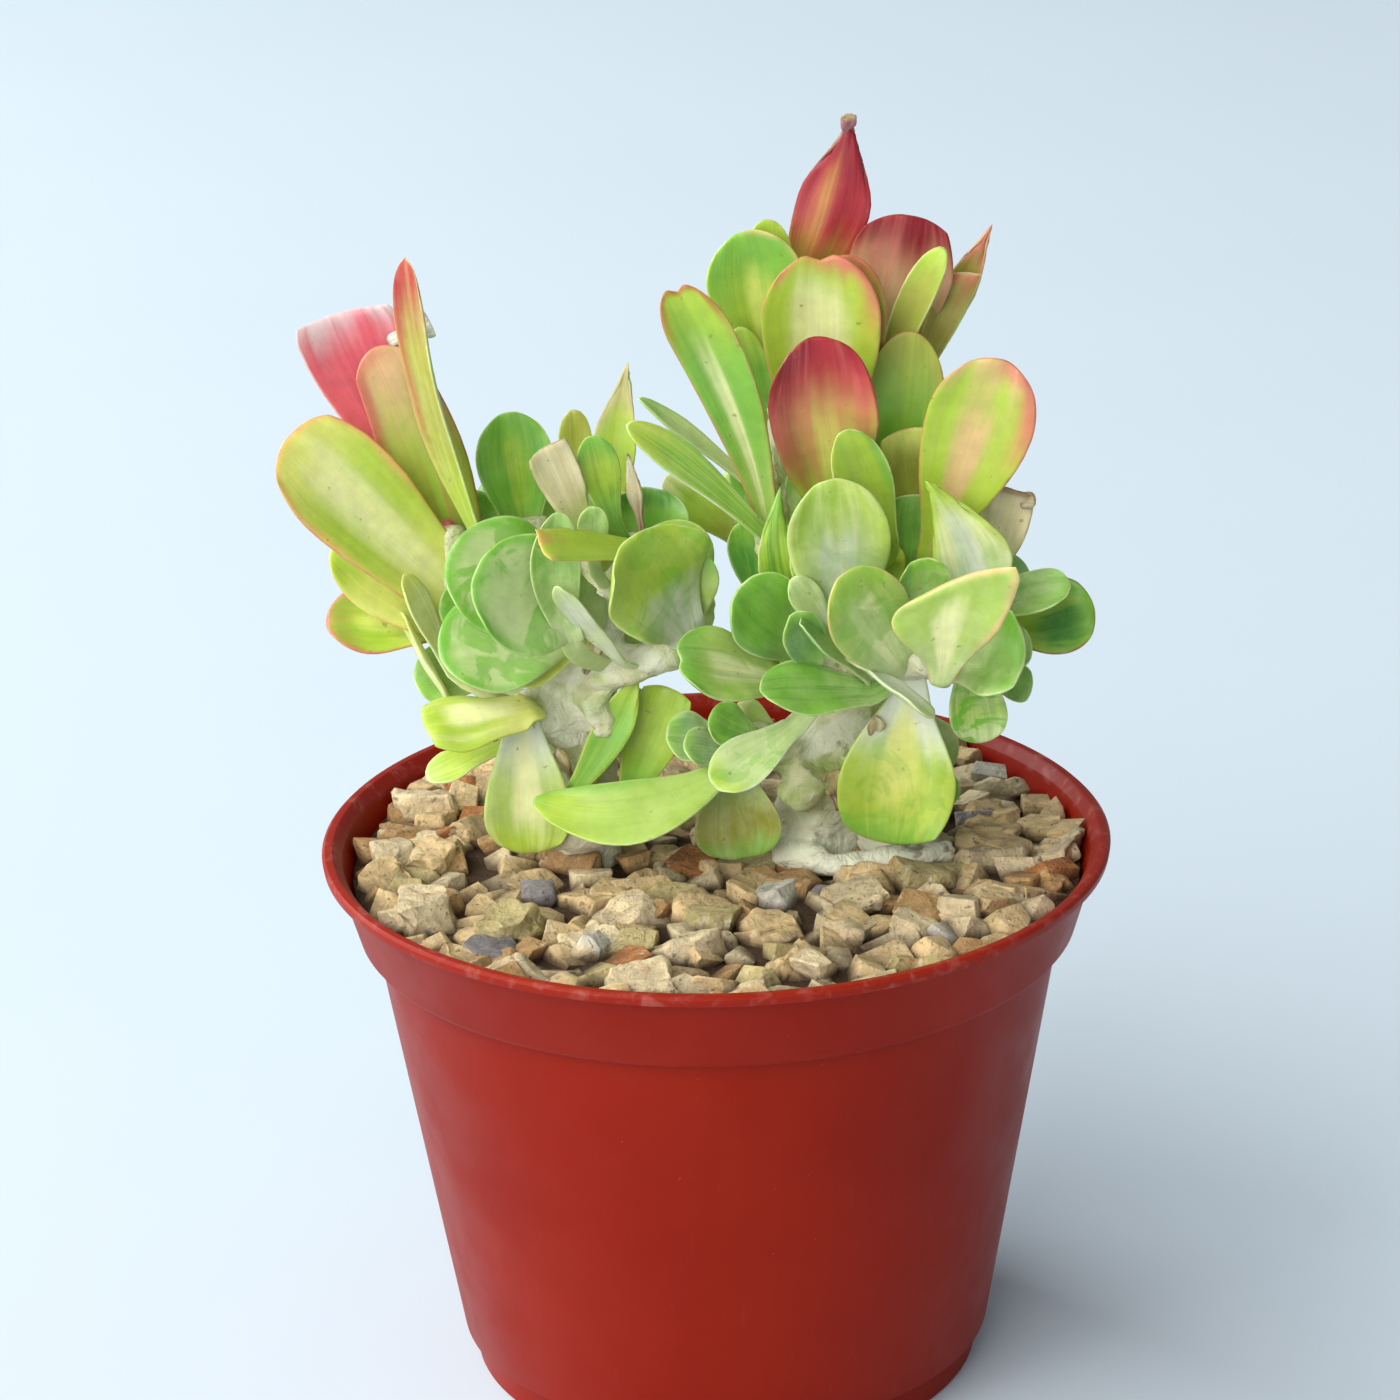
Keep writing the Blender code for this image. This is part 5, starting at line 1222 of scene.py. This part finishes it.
class Blade:
    """Turns (across, along) on a leaf, -1 to 1 and 0 to 1, into a point. Along below 0
    is the leaf's foot, which runs down to the branch."""

    def __init__(self, spec, lines):
        self.spec = spec
        self.root = VIEW.spot(*spec.root)
        tip = VIEW.spot(*spec.tip)
        self.length = (tip - self.root).length
        self.along = (tip - self.root).normalized()
        face = VIEW.direction(*spec.face)
        self.normal = (face - self.along * face.dot(self.along)).normalized()
        self.side = self.along.cross(self.normal)
        self.core, self.core_radius = nearest_on(lines, self.root - self.along * FOOT_SEARCH)
        near = (self.core - self.root).length < SHORTEST_FOOT
        if near or spec.name.startswith("scrap"):
            self.core = self.root - self.along * SHORTEST_FOOT
        self.mark = random.Random(spec.name).uniform(0.0, 40.0)

    def outline(self, across, along):
        """Half width and length of the flat leaf, as shares of its own."""
        spec = self.spec
        round_end = 1.0 - spec.blunt
        if along <= spec.wide:
            swell = math.sin(math.pi / 2.0 * along / spec.wide) ** SWELL
            return spec.stalk + (1.0 - spec.stalk) * swell, along
        end = (along - spec.wide) / (1.0 - spec.wide)
        ratio = math.sqrt(1.0 - round_end * end * end / 2.0) * (1.0 - spec.point * end * end)
        reach = end * math.sqrt(1.0 - round_end * across * across / 2.0)
        return ratio, spec.wide + (1.0 - spec.wide) * reach

    def edge_gap(self, across, along):
        """How far a place on the blade lies inside the rim, in millimetres."""
        spec = self.spec
        ratio, _ = self.outline(across, max(0.0, along))
        gap = (1.0 - abs(across)) * spec.width / 2.0 * ratio
        if along > spec.wide:
            end = (along - spec.wide) / (1.0 - spec.wide)
            gap = min(gap, (1.0 - end) * (1.0 - spec.wide) * self.length)
        return gap

    def place(self, across, along):
        """The point of the bent leaf, half way through its thickness."""
        if along < 0.0:
            return self.foot(across, -along)
        spec = self.spec
        half = spec.width / 2.0
        ratio, reach = self.outline(across, along)
        wobble = noise.noise((3.0 * along, 2.0 * across, self.mark))
        ratio *= 1.0 + EDGE_WOBBLE * wobble * along
        end = max(0.0, (along - spec.wide) / (1.0 - spec.wide))
        reach -= spec.notch * math.exp(-((across / NOTCH_WIDTH) ** 2)) * end * end
        reach += spec.slant * across * min(1.0, along / spec.wide) ** 2
        x = across * half * ratio
        z = half * ratio * (spec.cup * across * across + spec.fold * abs(across))
        sign = (across > 0.0) - (across < 0.0)
        turn = math.tau * (WAVES * reach + WAVE_SHIFT * sign)
        z += spec.wave * half * across * across * math.sin(turn)
        z += SHEET_RELIEF * along * noise.noise((2.2 * across, 3.0 * along, self.mark + 9.0))
        angle = math.radians(spec.twist) * (reach - 0.5)
        x, z = (x * math.cos(angle) - z * math.sin(angle),
                x * math.sin(angle) + z * math.cos(angle))
        arch = 4.0 * reach * (1.0 - reach)
        x += spec.sway * self.length * arch
        z += spec.bow * self.length * arch
        return self.root + self.along * (reach * self.length) + self.side * x + self.normal * z

    def foot(self, across, share):
        """A point of the foot, which narrows from the root down into the branch."""
        reach = (self.core - self.root).length
        bend = self.root - self.along * min(LONGEST_BEND, 0.5 * reach)
        place = (self.root * (1.0 - share) ** 2 + bend * (2.0 * share * (1.0 - share))
                 + self.core * share ** 2)
        run = (bend - self.root).lerp(self.core - bend, share)
        side = (-self.along).rotation_difference(run) @ self.side
        half = self.spec.width / 2.0 * self.spec.stalk
        narrow = min(half, max(THINNEST_FOOT, 0.4 * self.core_radius))
        return place + side * (across * (half + (narrow - half) * share))


class Painter:
    """Colours the corners of a leaf from its coat. Noises make the borders of the colours
    drift, and the mark makes them drift otherwise on each leaf."""

    def __init__(self, blade, dress, tones):
        self.blade = blade
        self.dress = dress
        self.tones = tones

    def tone(self, name):
        return tuple(getattr(self.tones, name))

    def hue(self, across, along, behind):
        """The leaf's own colour at a place, on its upper side or behind."""
        dress = self.dress
        mark = self.blade.mark
        reach = max(0.0, along)
        drift = reach + 0.07 * noise.noise((1.6 * across, 2.0 * reach, mark))
        drift += 0.09 * noise.noise((6.0 * across, 0.7 * reach, mark + 5.0))
        colour = blend(self.tone(dress.base), self.tone(dress.middle), ease(drift, 0.1, 0.5))
        tip = ease(drift, dress.tip_at - dress.tip_soft, dress.tip_at + dress.tip_soft)
        colour = blend(colour, self.tone(dress.tip), tip)
        if dress.core:
            aside = abs(across - dress.core_shift) + 0.22 * noise.noise(
                (7.0 * across, 1.1 * reach, mark + 2.0))
            band = 1.0 - ease(aside, 0.3 * dress.core_width, dress.core_width)
            band *= ease(reach, -0.05, 0.25) * (1.0 - ease(drift, dress.core_end - 0.2,
                                                           dress.core_end))
            colour = blend(colour, self.tone(dress.core), CORE_AND_GLOW * band)
        if dress.glow:
            gap = self.blade.edge_gap(across, along) + 1.2 * noise.noise((0.0, 4.0 * reach, mark))
            near = 1.0 - ease(gap, 0.2 * dress.glow_width, dress.glow_width)
            side = 1.0 if not dress.glow_side else ease(across * dress.glow_side, -0.3, 0.3)
            strength = near * side * ease(reach, dress.glow_from, dress.glow_from + 0.35)
            colour = blend(colour, self.tone(dress.glow), strength * CORE_AND_GLOW)
        if behind:
            colour = blend(colour, self.tone("frost_green"), UNDERSIDE_PALE)
        return (*colour, 1.0)

    def marks(self, along, behind):
        """How strong the streaks, splashes and frost are at a place."""
        dress = self.dress
        low = 1.0 - FROST_FADE * ease(along, 0.1, 0.9)
        frost = min(1.0, dress.frost * low * (UNDERSIDE_FROST if behind else 1.0))
        return Vector((dress.streaks, dress.splash * ease(along, -0.1, 0.35), frost))


def leaf_stations(spec):
    """How finely a leaf is divided: the rows along it and the half columns across it."""
    broad = spec.width >= BROAD_LEAF
    blade_rows, end_rows, half_columns = BROAD_GRID if broad else NARROW_GRID
    rows = list(BROAD_FOOT if broad else NARROW_FOOT)
    rows += [spec.wide * step / blade_rows for step in range(blade_rows)]
    for step in range(end_rows + 1):
        turn = math.sin(math.pi / 2.0 * step / end_rows)
        rows.append(spec.wide + (1.0 - spec.wide) * turn)
    return rows, half_columns


def thickness_at(spec, across, along, row, rows):
    """Half the leaf's thickness, which falls to nothing at the rim and at both ends."""
    if row in (0, len(rows) - 1):
        return 0.0
    thin, thick = LEAF_THICKNESS
    half = 0.5 * max(thin, min(thick, THICKNESS_SHARE * spec.width))
    end = max(0.0, (along - spec.wide) / (1.0 - spec.wide))
    lens = max(0.0, 1.0 - across * across) ** ROUND_RIM
    return half * lens * math.sqrt(max(0.0, 1.0 - end ** 4))


def paint_layers(solid):
    """The named layers that the leaf finish reads, made in the same order on every mesh."""
    kinds = solid.verts.layers
    layers = {name: kinds.float_color.new(name) for name in ("hue", "streak", "rim_hue")}
    layers |= {name: kinds.float_vector.new(name) for name in ("spot", "marks")}
    return layers | {"edge": kinds.float.new("edge")}


def leaf_sheet(solid, layers, blade, rows, half_columns):
    """A grid bent to the leaf's shape, its faces to the upper side. Gives back what every
    corner's index stands for: across, along and row."""
    bmesh.ops.create_grid(solid, x_segments=2 * half_columns, y_segments=len(rows) - 1, size=1.0)
    notes = {}
    for corner in solid.verts:
        row = round((corner.co.y + 1.0) / 2.0 * (len(rows) - 1))
        column = round(corner.co.x * half_columns)
        across = math.sin(math.pi / 2.0 * column / half_columns)
        notes[corner.index] = (across, rows[row], row)
        corner[layers["spot"]] = Vector((across, rows[row], blade.mark))
        corner.co = blade.place(across, rows[row])
    solid.verts.index_update()
    bmesh.ops.recalc_face_normals(solid, faces=solid.faces)
    if sum(face.normal.dot(blade.normal) for face in solid.faces) < 0.0:
        bmesh.ops.reverse_faces(solid, faces=solid.faces[:])
    solid.normal_update()
    return notes


def fine_leaf(spec, lines, tones, heap):
    """One leaf as a closed, lens-like blade: a sheet, doubled, parted and painted."""
    blade = Blade(spec, lines)
    painter = Painter(blade, coat_of(spec), tones)
    rows, half_columns = leaf_stations(spec)
    solid = bmesh.new()
    layers = paint_layers(solid)
    notes = leaf_sheet(solid, layers, blade, rows, half_columns)
    push = [corner.normal * thickness_at(spec, *notes[corner.index], rows)
            for corner in solid.verts]
    first = solid.verts[:]
    doubled = bmesh.ops.duplicate(solid, geom=first + solid.edges[:] + solid.faces[:])
    twin = doubled["vert_map"]
    bmesh.ops.reverse_faces(solid, faces=[item for item in doubled["geom"]
                                          if isinstance(item, bmesh.types.BMFace)])
    for corner, move in zip(first, push):
        other = twin[corner]
        across, along, _ = notes[corner.index]
        for item, behind, way in ((corner, False, 1.0), (other, True, -1.0)):
            item.co += move * way
            item[layers["hue"]] = painter.hue(across, along, behind)
            item[layers["streak"]] = (*painter.tone(painter.dress.streak), 1.0)
            item[layers["rim_hue"]] = (*painter.tone(painter.dress.rim), 1.0)
            item[layers["marks"]] = painter.marks(along, behind)
            item[layers["edge"]] = blade.edge_gap(across, along) / RIM_WIDTH
    bmesh.ops.remove_doubles(solid, verts=solid.verts, dist=0.0005)
    bmesh.ops.scale(solid, vec=(MM, MM, MM), verts=solid.verts)
    pour(solid, heap)


def crowd_mesh(name, feet, branches, leaves, tones):
    """All the leaves of one stem in one mesh."""
    lines = branch_lines(feet, branches)
    heap = bmesh.new()
    paint_layers(heap)
    for spec in leaves:
        fine_leaf(spec, lines, tones, heap)
    mesh = mesh_of(name, heap)
    mesh.shade_smooth()
    return mesh


def stem_mesh(name, lines, grain):
    """Trunks and branches grown together: swept tubes, remeshed as one skin and roughened."""
    curve = bpy.data.curves.new(name, "CURVE")
    curve.dimensions = "3D"
    curve.bevel_depth = MM
    curve.bevel_resolution = 6
    curve.use_fill_caps = True
    for line in lines:
        spline = curve.splines.new("POLY")
        spline.points.add(len(line) - 1)
        for knot, (place, radius) in zip(spline.points, line):
            knot.co = (*(place * MM), 1.0)
            knot.radius = radius - TUBE_SLIMMER
    tubes = placed(name, baked(placed(name, curve)))
    skin = tubes.modifiers.new("skin", "REMESH")
    skin.mode = "VOXEL"
    skin.voxel_size = grain
    relax = tubes.modifiers.new("relax", "SMOOTH")
    relax.factor = 0.6
    relax.iterations = 4
    mesh = baked(tubes)
    solid = bmesh.new()
    solid.from_mesh(mesh)
    roughen(solid, lambda place: MM * relief(place, BARK_RELIEF))
    solid.to_mesh(mesh)
    solid.free()
    mesh.shade_smooth()
    return mesh


def srgb(red, green, blue):
    """A colour as read off a screen, 0 to 255, in the units that materials use."""
    tones = []
    for channel in (red, green, blue):
        share = channel / 255.0
        tones.append(share / 12.92 if share <= 0.04045 else ((share + 0.055) / 1.055) ** 2.4)
    return tuple(tones)


def paint(name, description, *tone):
    """A colour setting."""
    return FloatVectorProperty(name=name, description=description, subtype="COLOR", size=3,
                               min=0.0, max=1.0, default=srgb(*tone))


class PLANT_PG_leaves(bpy.types.PropertyGroup):
    """Colours of the leaves."""

    lime: paint("Lime", "Young leaves", 168, 192, 62)
    yellow: paint("Yellow", "Variegated middles of the young leaves", 212, 214, 110)
    cream: paint("Cream", "Pale stripes and edges", 232, 230, 170)
    gold: paint("Gold", "Stripe in the darkest red leaves", 182, 128, 62)
    green: paint("Green", "Plain green leaves", 124, 176, 62)
    deep_green: paint("Deep green", "Streaks and shaded leaves", 72, 138, 54)
    blue_green: paint("Blue green", "Young leaves low in the crest", 106, 150, 88)
    pale_green: paint("Pale green", "Middles of the frosted leaves", 166, 192, 90)
    frost_green: paint("Frosted green", "Bodies of the frosted leaves", 146, 184, 94)
    frost: paint("Frost", "Bases of the frosted leaves", 186, 202, 138)
    white: paint("White", "Scurfy leaf bases and edges", 214, 218, 200)
    pale_rim: paint("Pale rim", "Thin light edge of most leaves", 206, 216, 152)
    red: paint("Red", "Sun-reddened tips", 166, 36, 44)
    deep_red: paint("Deep red", "Darkest tips", 130, 20, 34)
    pink: paint("Pink", "Withering leaf at the left", 218, 98, 112)
    withered_white: paint("Withered white", "Papery top of the withering leaf", 214, 190, 190)
    rose: paint("Rose", "Blush below the red tips", 200, 98, 88)
    peach: paint("Peach", "Where the blush fades", 218, 176, 128)
    orange: paint("Orange", "Blush of the yellow leaves", 216, 160, 96)
    olive: paint("Olive", "Bases of the red leaves", 156, 156, 62)
    tan_red: paint("Tan red", "Middles of the red leaves", 176, 92, 66)
    tan: paint("Tan", "Dry leaf edges", 190, 170, 124)
    brown: paint("Brown", "Scars and dead tips", 132, 98, 66)
    dry: paint("Dry", "Dried leaf", 222, 208, 166)
    mauve: paint("Mauve", "Dried tip of the tallest leaf", 150, 92, 100)
    splash: paint("Splash", "Bright green splashes", 108, 172, 44)
    bloom: paint("Bloom", "Whitish wax on the leaves", 210, 218, 162)


class PLANT_PG_stems(bpy.types.PropertyGroup):
    """Colours and grain of the stems."""

    bark: paint("Bark", "Corky stem", 206, 204, 160)
    bark_green: paint("Green bark", "Live stem under the cork", 164, 178, 106)
    bark_white: paint("White bark", "Scurf on the stem", 228, 226, 206)
    tan: paint("Scars", "Leaf scars", 168, 146, 104)
    brown: paint("Pits", "Dark pits", 104, 76, 50)
    grain: FloatProperty(name="Grain", description="Mesh size of the stems' skin", default=0.0009,
                         min=0.0005, max=0.003, subtype="DISTANCE", unit="LENGTH")


class PLANT_PG_gravel(bpy.types.PropertyGroup):
    """Colours and number of the stones."""

    stone_tan: paint("Tan stone", "Most of the stones", 220, 190, 140)
    stone_beige: paint("Beige stone", "Pale stones", 230, 208, 166)
    stone_olive: paint("Olive stone", "Greenish stones", 196, 178, 124)
    stone_brown: paint("Brown stone", "Darker stones", 192, 152, 102)
    stone_rust: paint("Rust", "Iron-stained stones", 190, 126, 74)
    stone_mauve: paint("Mauve stone", "Slate-like stones", 156, 148, 148)
    stone_white: paint("White stone", "Quartz stones", 226, 218, 200)
    stone_pale: paint("Pale face", "Fresh broken faces", 230, 216, 184)
    # The dark grit of the pits is real; the same colour is the painted shade of the bed and of the
    # stones low down
    dark_grit_and_gap_shade: paint("Dark grit and gap shade", "Pits and the bed between the stones", 74, 54, 36)
    soil: paint("Mix", "Potting mix", 40, 28, 20)
    soil_light: paint("Light mix", "Fibres in the potting mix", 92, 68, 46)
    tan: paint("Grit", "Grit in the potting mix", 170, 150, 116)
    fillers: IntProperty(name="Small stones", description="Stones between the large ones",
                         default=300, min=0, max=600)
    filler_spacing: FloatProperty(name="Spacing", description="Least gap between small stones, mm",
                                  default=6.4, min=3.0, max=20.0)
    seed: IntProperty(name="Seed", description="Another seed lays the small stones anew",
                      default=23, min=0)


class PLANT_PG_pot(bpy.types.PropertyGroup):
    """Colours and roundness of the pot."""

    plastic: paint("Plastic", "Pot colour", 134, 20, 0)
    plastic_light: paint("Light plastic", "Pot colour where it is paler", 142, 26, 3)
    scuff: paint("Scuff", "Scuffed lip and dust", 206, 150, 138)
    steps: IntProperty(name="Steps", description="Faces round the pot", default=160, min=16,
                       max=360)


class PLANT_PG_stage(bpy.types.PropertyGroup):
    """Floor, lights and camera."""

    floor: paint("Floor", "Pale paper that the pot stands on", 197, 209, 217)
    key_power: FloatProperty(name="Key light", description="Broad soft light from the left",
                             default=2.1, min=0.0)
    window_power: FloatProperty(name="Window", description="Light from behind on the left",
                                default=34.0, min=0.0, subtype="POWER", unit="POWER")
    fill_power: FloatProperty(name="Fill", description="Soft light left of the camera",
                              default=28.0, min=0.0, subtype="POWER", unit="POWER")
    sky: FloatProperty(name="Sky", description="Strength of the light all round", default=0.36,
                       min=0.0, max=5.0)
    lens: FloatProperty(name="Lens", description="Focal length of the camera", default=115.714,
                        min=20.0, max=400.0, subtype="DISTANCE_CAMERA", unit="CAMERA")


class PLANT_OT_pot(bpy.types.Operator):
    """Make the red nursery pot"""

    bl_idname = "plant.pot"
    bl_label = "Pot"

    def execute(self, context):
        tones = context.scene.plant_pot
        new_piece("nursery_pot", pot_mesh(tones.steps), plastic_finish("red_plastic", tones),
                  "pot")
        return {"FINISHED"}


class PLANT_OT_potting_mix(bpy.types.Operator):
    """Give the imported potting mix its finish"""

    bl_idname = "plant.potting_mix"
    bl_label = "Potting mix"

    def execute(self, context):
        finish = soil_finish("potting_mix_crumb", context.scene.plant_gravel)
        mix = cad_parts["potting_mix"]
        for slot in mix.material_slots:
            slot.material = finish
        return {"FINISHED"}


class PLANT_OT_gravel(bpy.types.Operator):
    """Lay the gravel dressing"""

    bl_idname = "plant.gravel"
    bl_label = "Gravel"

    def execute(self, context):
        tones = context.scene.plant_gravel
        new_piece("gravel_dressing", gravel_mesh(tones), stone_finish("stone", tones),
                  "gravel")
        return {"FINISHED"}


class PLANT_OT_left_stem(bpy.types.Operator):
    """Grow the left crested stem and its leaves"""

    bl_idname = "plant.left_stem"
    bl_label = "Left stem"

    def execute(self, context):
        leaves = LEFT_LEAVES + back_leaves("left_back", LEFT_BACK, BACK_SEED) + LEFT_SCRAPS
        grow("left", LEFT_FEET, LEFT_BRANCHES, LEFT_LUMPS, leaves, context.scene)
        return {"FINISHED"}


class PLANT_OT_right_stem(bpy.types.Operator):
    """Grow the right crested stem and its leaves"""

    bl_idname = "plant.right_stem"
    bl_label = "Right stem"

    def execute(self, context):
        leaves = RIGHT_LEAVES + back_leaves("right_back", RIGHT_BACK, BACK_SEED + 1) + RIGHT_SCRAPS
        grow("right", RIGHT_FEET, RIGHT_BRANCHES, RIGHT_LUMPS, leaves, context.scene)
        return {"FINISHED"}


def grow(side, feet, branches, lumps, leaves, scene):
    """One stem: its branches as one skin, and its leaves."""
    tones = scene.plant_leaves
    lines = branch_lines(feet, branches) + branch_lines((), lumps)
    stem = stem_mesh(f"{side}_stem", lines, scene.plant_stems.grain)
    new_piece(f"{side}_stem", stem, bark_finish(f"{side}_bark", scene.plant_stems),
              f"{side}_leafy_stem")
    crowd = crowd_mesh(f"{side}_leaves", feet, branches, leaves, tones)
    new_piece(f"{side}_leaves", crowd, leaf_finish(f"{side}_leaf", tones),
              f"{side}_leafy_stem")


def soft_light(name, kind, place, tint, shape, power):
    """A lamp at a place in metres, turned to the middle of the pot's underside."""
    lamp = bpy.data.lights.new(name, kind)
    lamp.energy = power
    lamp.color = tint
    for setting, value in shape.items():
        setattr(lamp, setting, value)
    item = placed(name, lamp)
    item.location = place
    item.rotation_euler = (-Vector(place)).to_track_quat("-Z", "Y").to_euler()


class PLANT_OT_stage(bpy.types.Operator):
    """Set the floor, the lights and the camera"""

    bl_idname = "plant.stage"
    bl_label = "Stage"

    def execute(self, context):
        scene = context.scene
        settings = scene.plant_stage
        sheet = bmesh.new()
        bmesh.ops.create_grid(sheet, x_segments=2, y_segments=2, size=FLOOR_REACH)
        floor = placed("floor", mesh_of("floor", sheet))
        floor.data.materials.append(floor_finish("floor_paper", settings.floor))
        world = bpy.data.worlds.new("studio")
        world.use_nodes = True
        sky = world.node_tree.nodes["Background"]
        sky.inputs["Color"].default_value = SKY_TINT
        sky.inputs["Strength"].default_value = settings.sky
        scene.world = world
        for name, *rest in LAMPS:
            soft_light(name, *rest, getattr(settings, f"{name}_power"))
        lens = bpy.data.cameras.new("camera")
        lens.sensor_width = SENSOR
        lens.lens = settings.lens
        lens.clip_end = FAR_CLIP
        camera = placed("camera", lens)
        turn = Matrix((VIEW.right, VIEW.up, VIEW.near)).transposed()
        camera.matrix_world = Matrix.Translation(VIEW.eye * MM) @ turn.to_4x4()
        scene.camera = camera
        scene.view_settings.view_transform = "Standard"
        return {"FINISHED"}


class PLANT_PT_panel(bpy.types.Panel):
    """The makers of the potted plant"""

    bl_idname = "PLANT_PT_panel"
    bl_label = "Potted plant"
    bl_space_type = "VIEW_3D"
    bl_region_type = "UI"
    bl_category = "Plant"

    def draw(self, context):
        column = self.layout.column()
        for maker in MAKERS:
            column.operator(maker.bl_idname)
        for name in SETTINGS:
            group = getattr(context.scene, name)
            for setting in group.__annotations__:
                column.prop(group, setting)


MAKERS = (PLANT_OT_pot, PLANT_OT_potting_mix, PLANT_OT_gravel, PLANT_OT_left_stem,
          PLANT_OT_right_stem, PLANT_OT_stage)
SETTINGS = {
    "plant_leaves": PLANT_PG_leaves,
    "plant_stems": PLANT_PG_stems,
    "plant_gravel": PLANT_PG_gravel,
    "plant_pot": PLANT_PG_pot,
    "plant_stage": PLANT_PG_stage,
}


def register():
    for item in (*SETTINGS.values(), *MAKERS, PLANT_PT_panel):
        bpy.utils.register_class(item)
    for name, group in SETTINGS.items():
        setattr(bpy.types.Scene, name, PointerProperty(type=group))


def unregister():
    for name in SETTINGS:
        delattr(bpy.types.Scene, name)
    for item in reversed((*SETTINGS.values(), *MAKERS, PLANT_PT_panel)):
        bpy.utils.unregister_class(item)


def main():
    register()
    bpy.ops.plant.pot()
    bpy.ops.plant.potting_mix()
    bpy.ops.plant.gravel()
    bpy.ops.plant.left_stem()
    bpy.ops.plant.right_stem()
    bpy.ops.plant.stage()


if __name__ == "__main__":
    main()
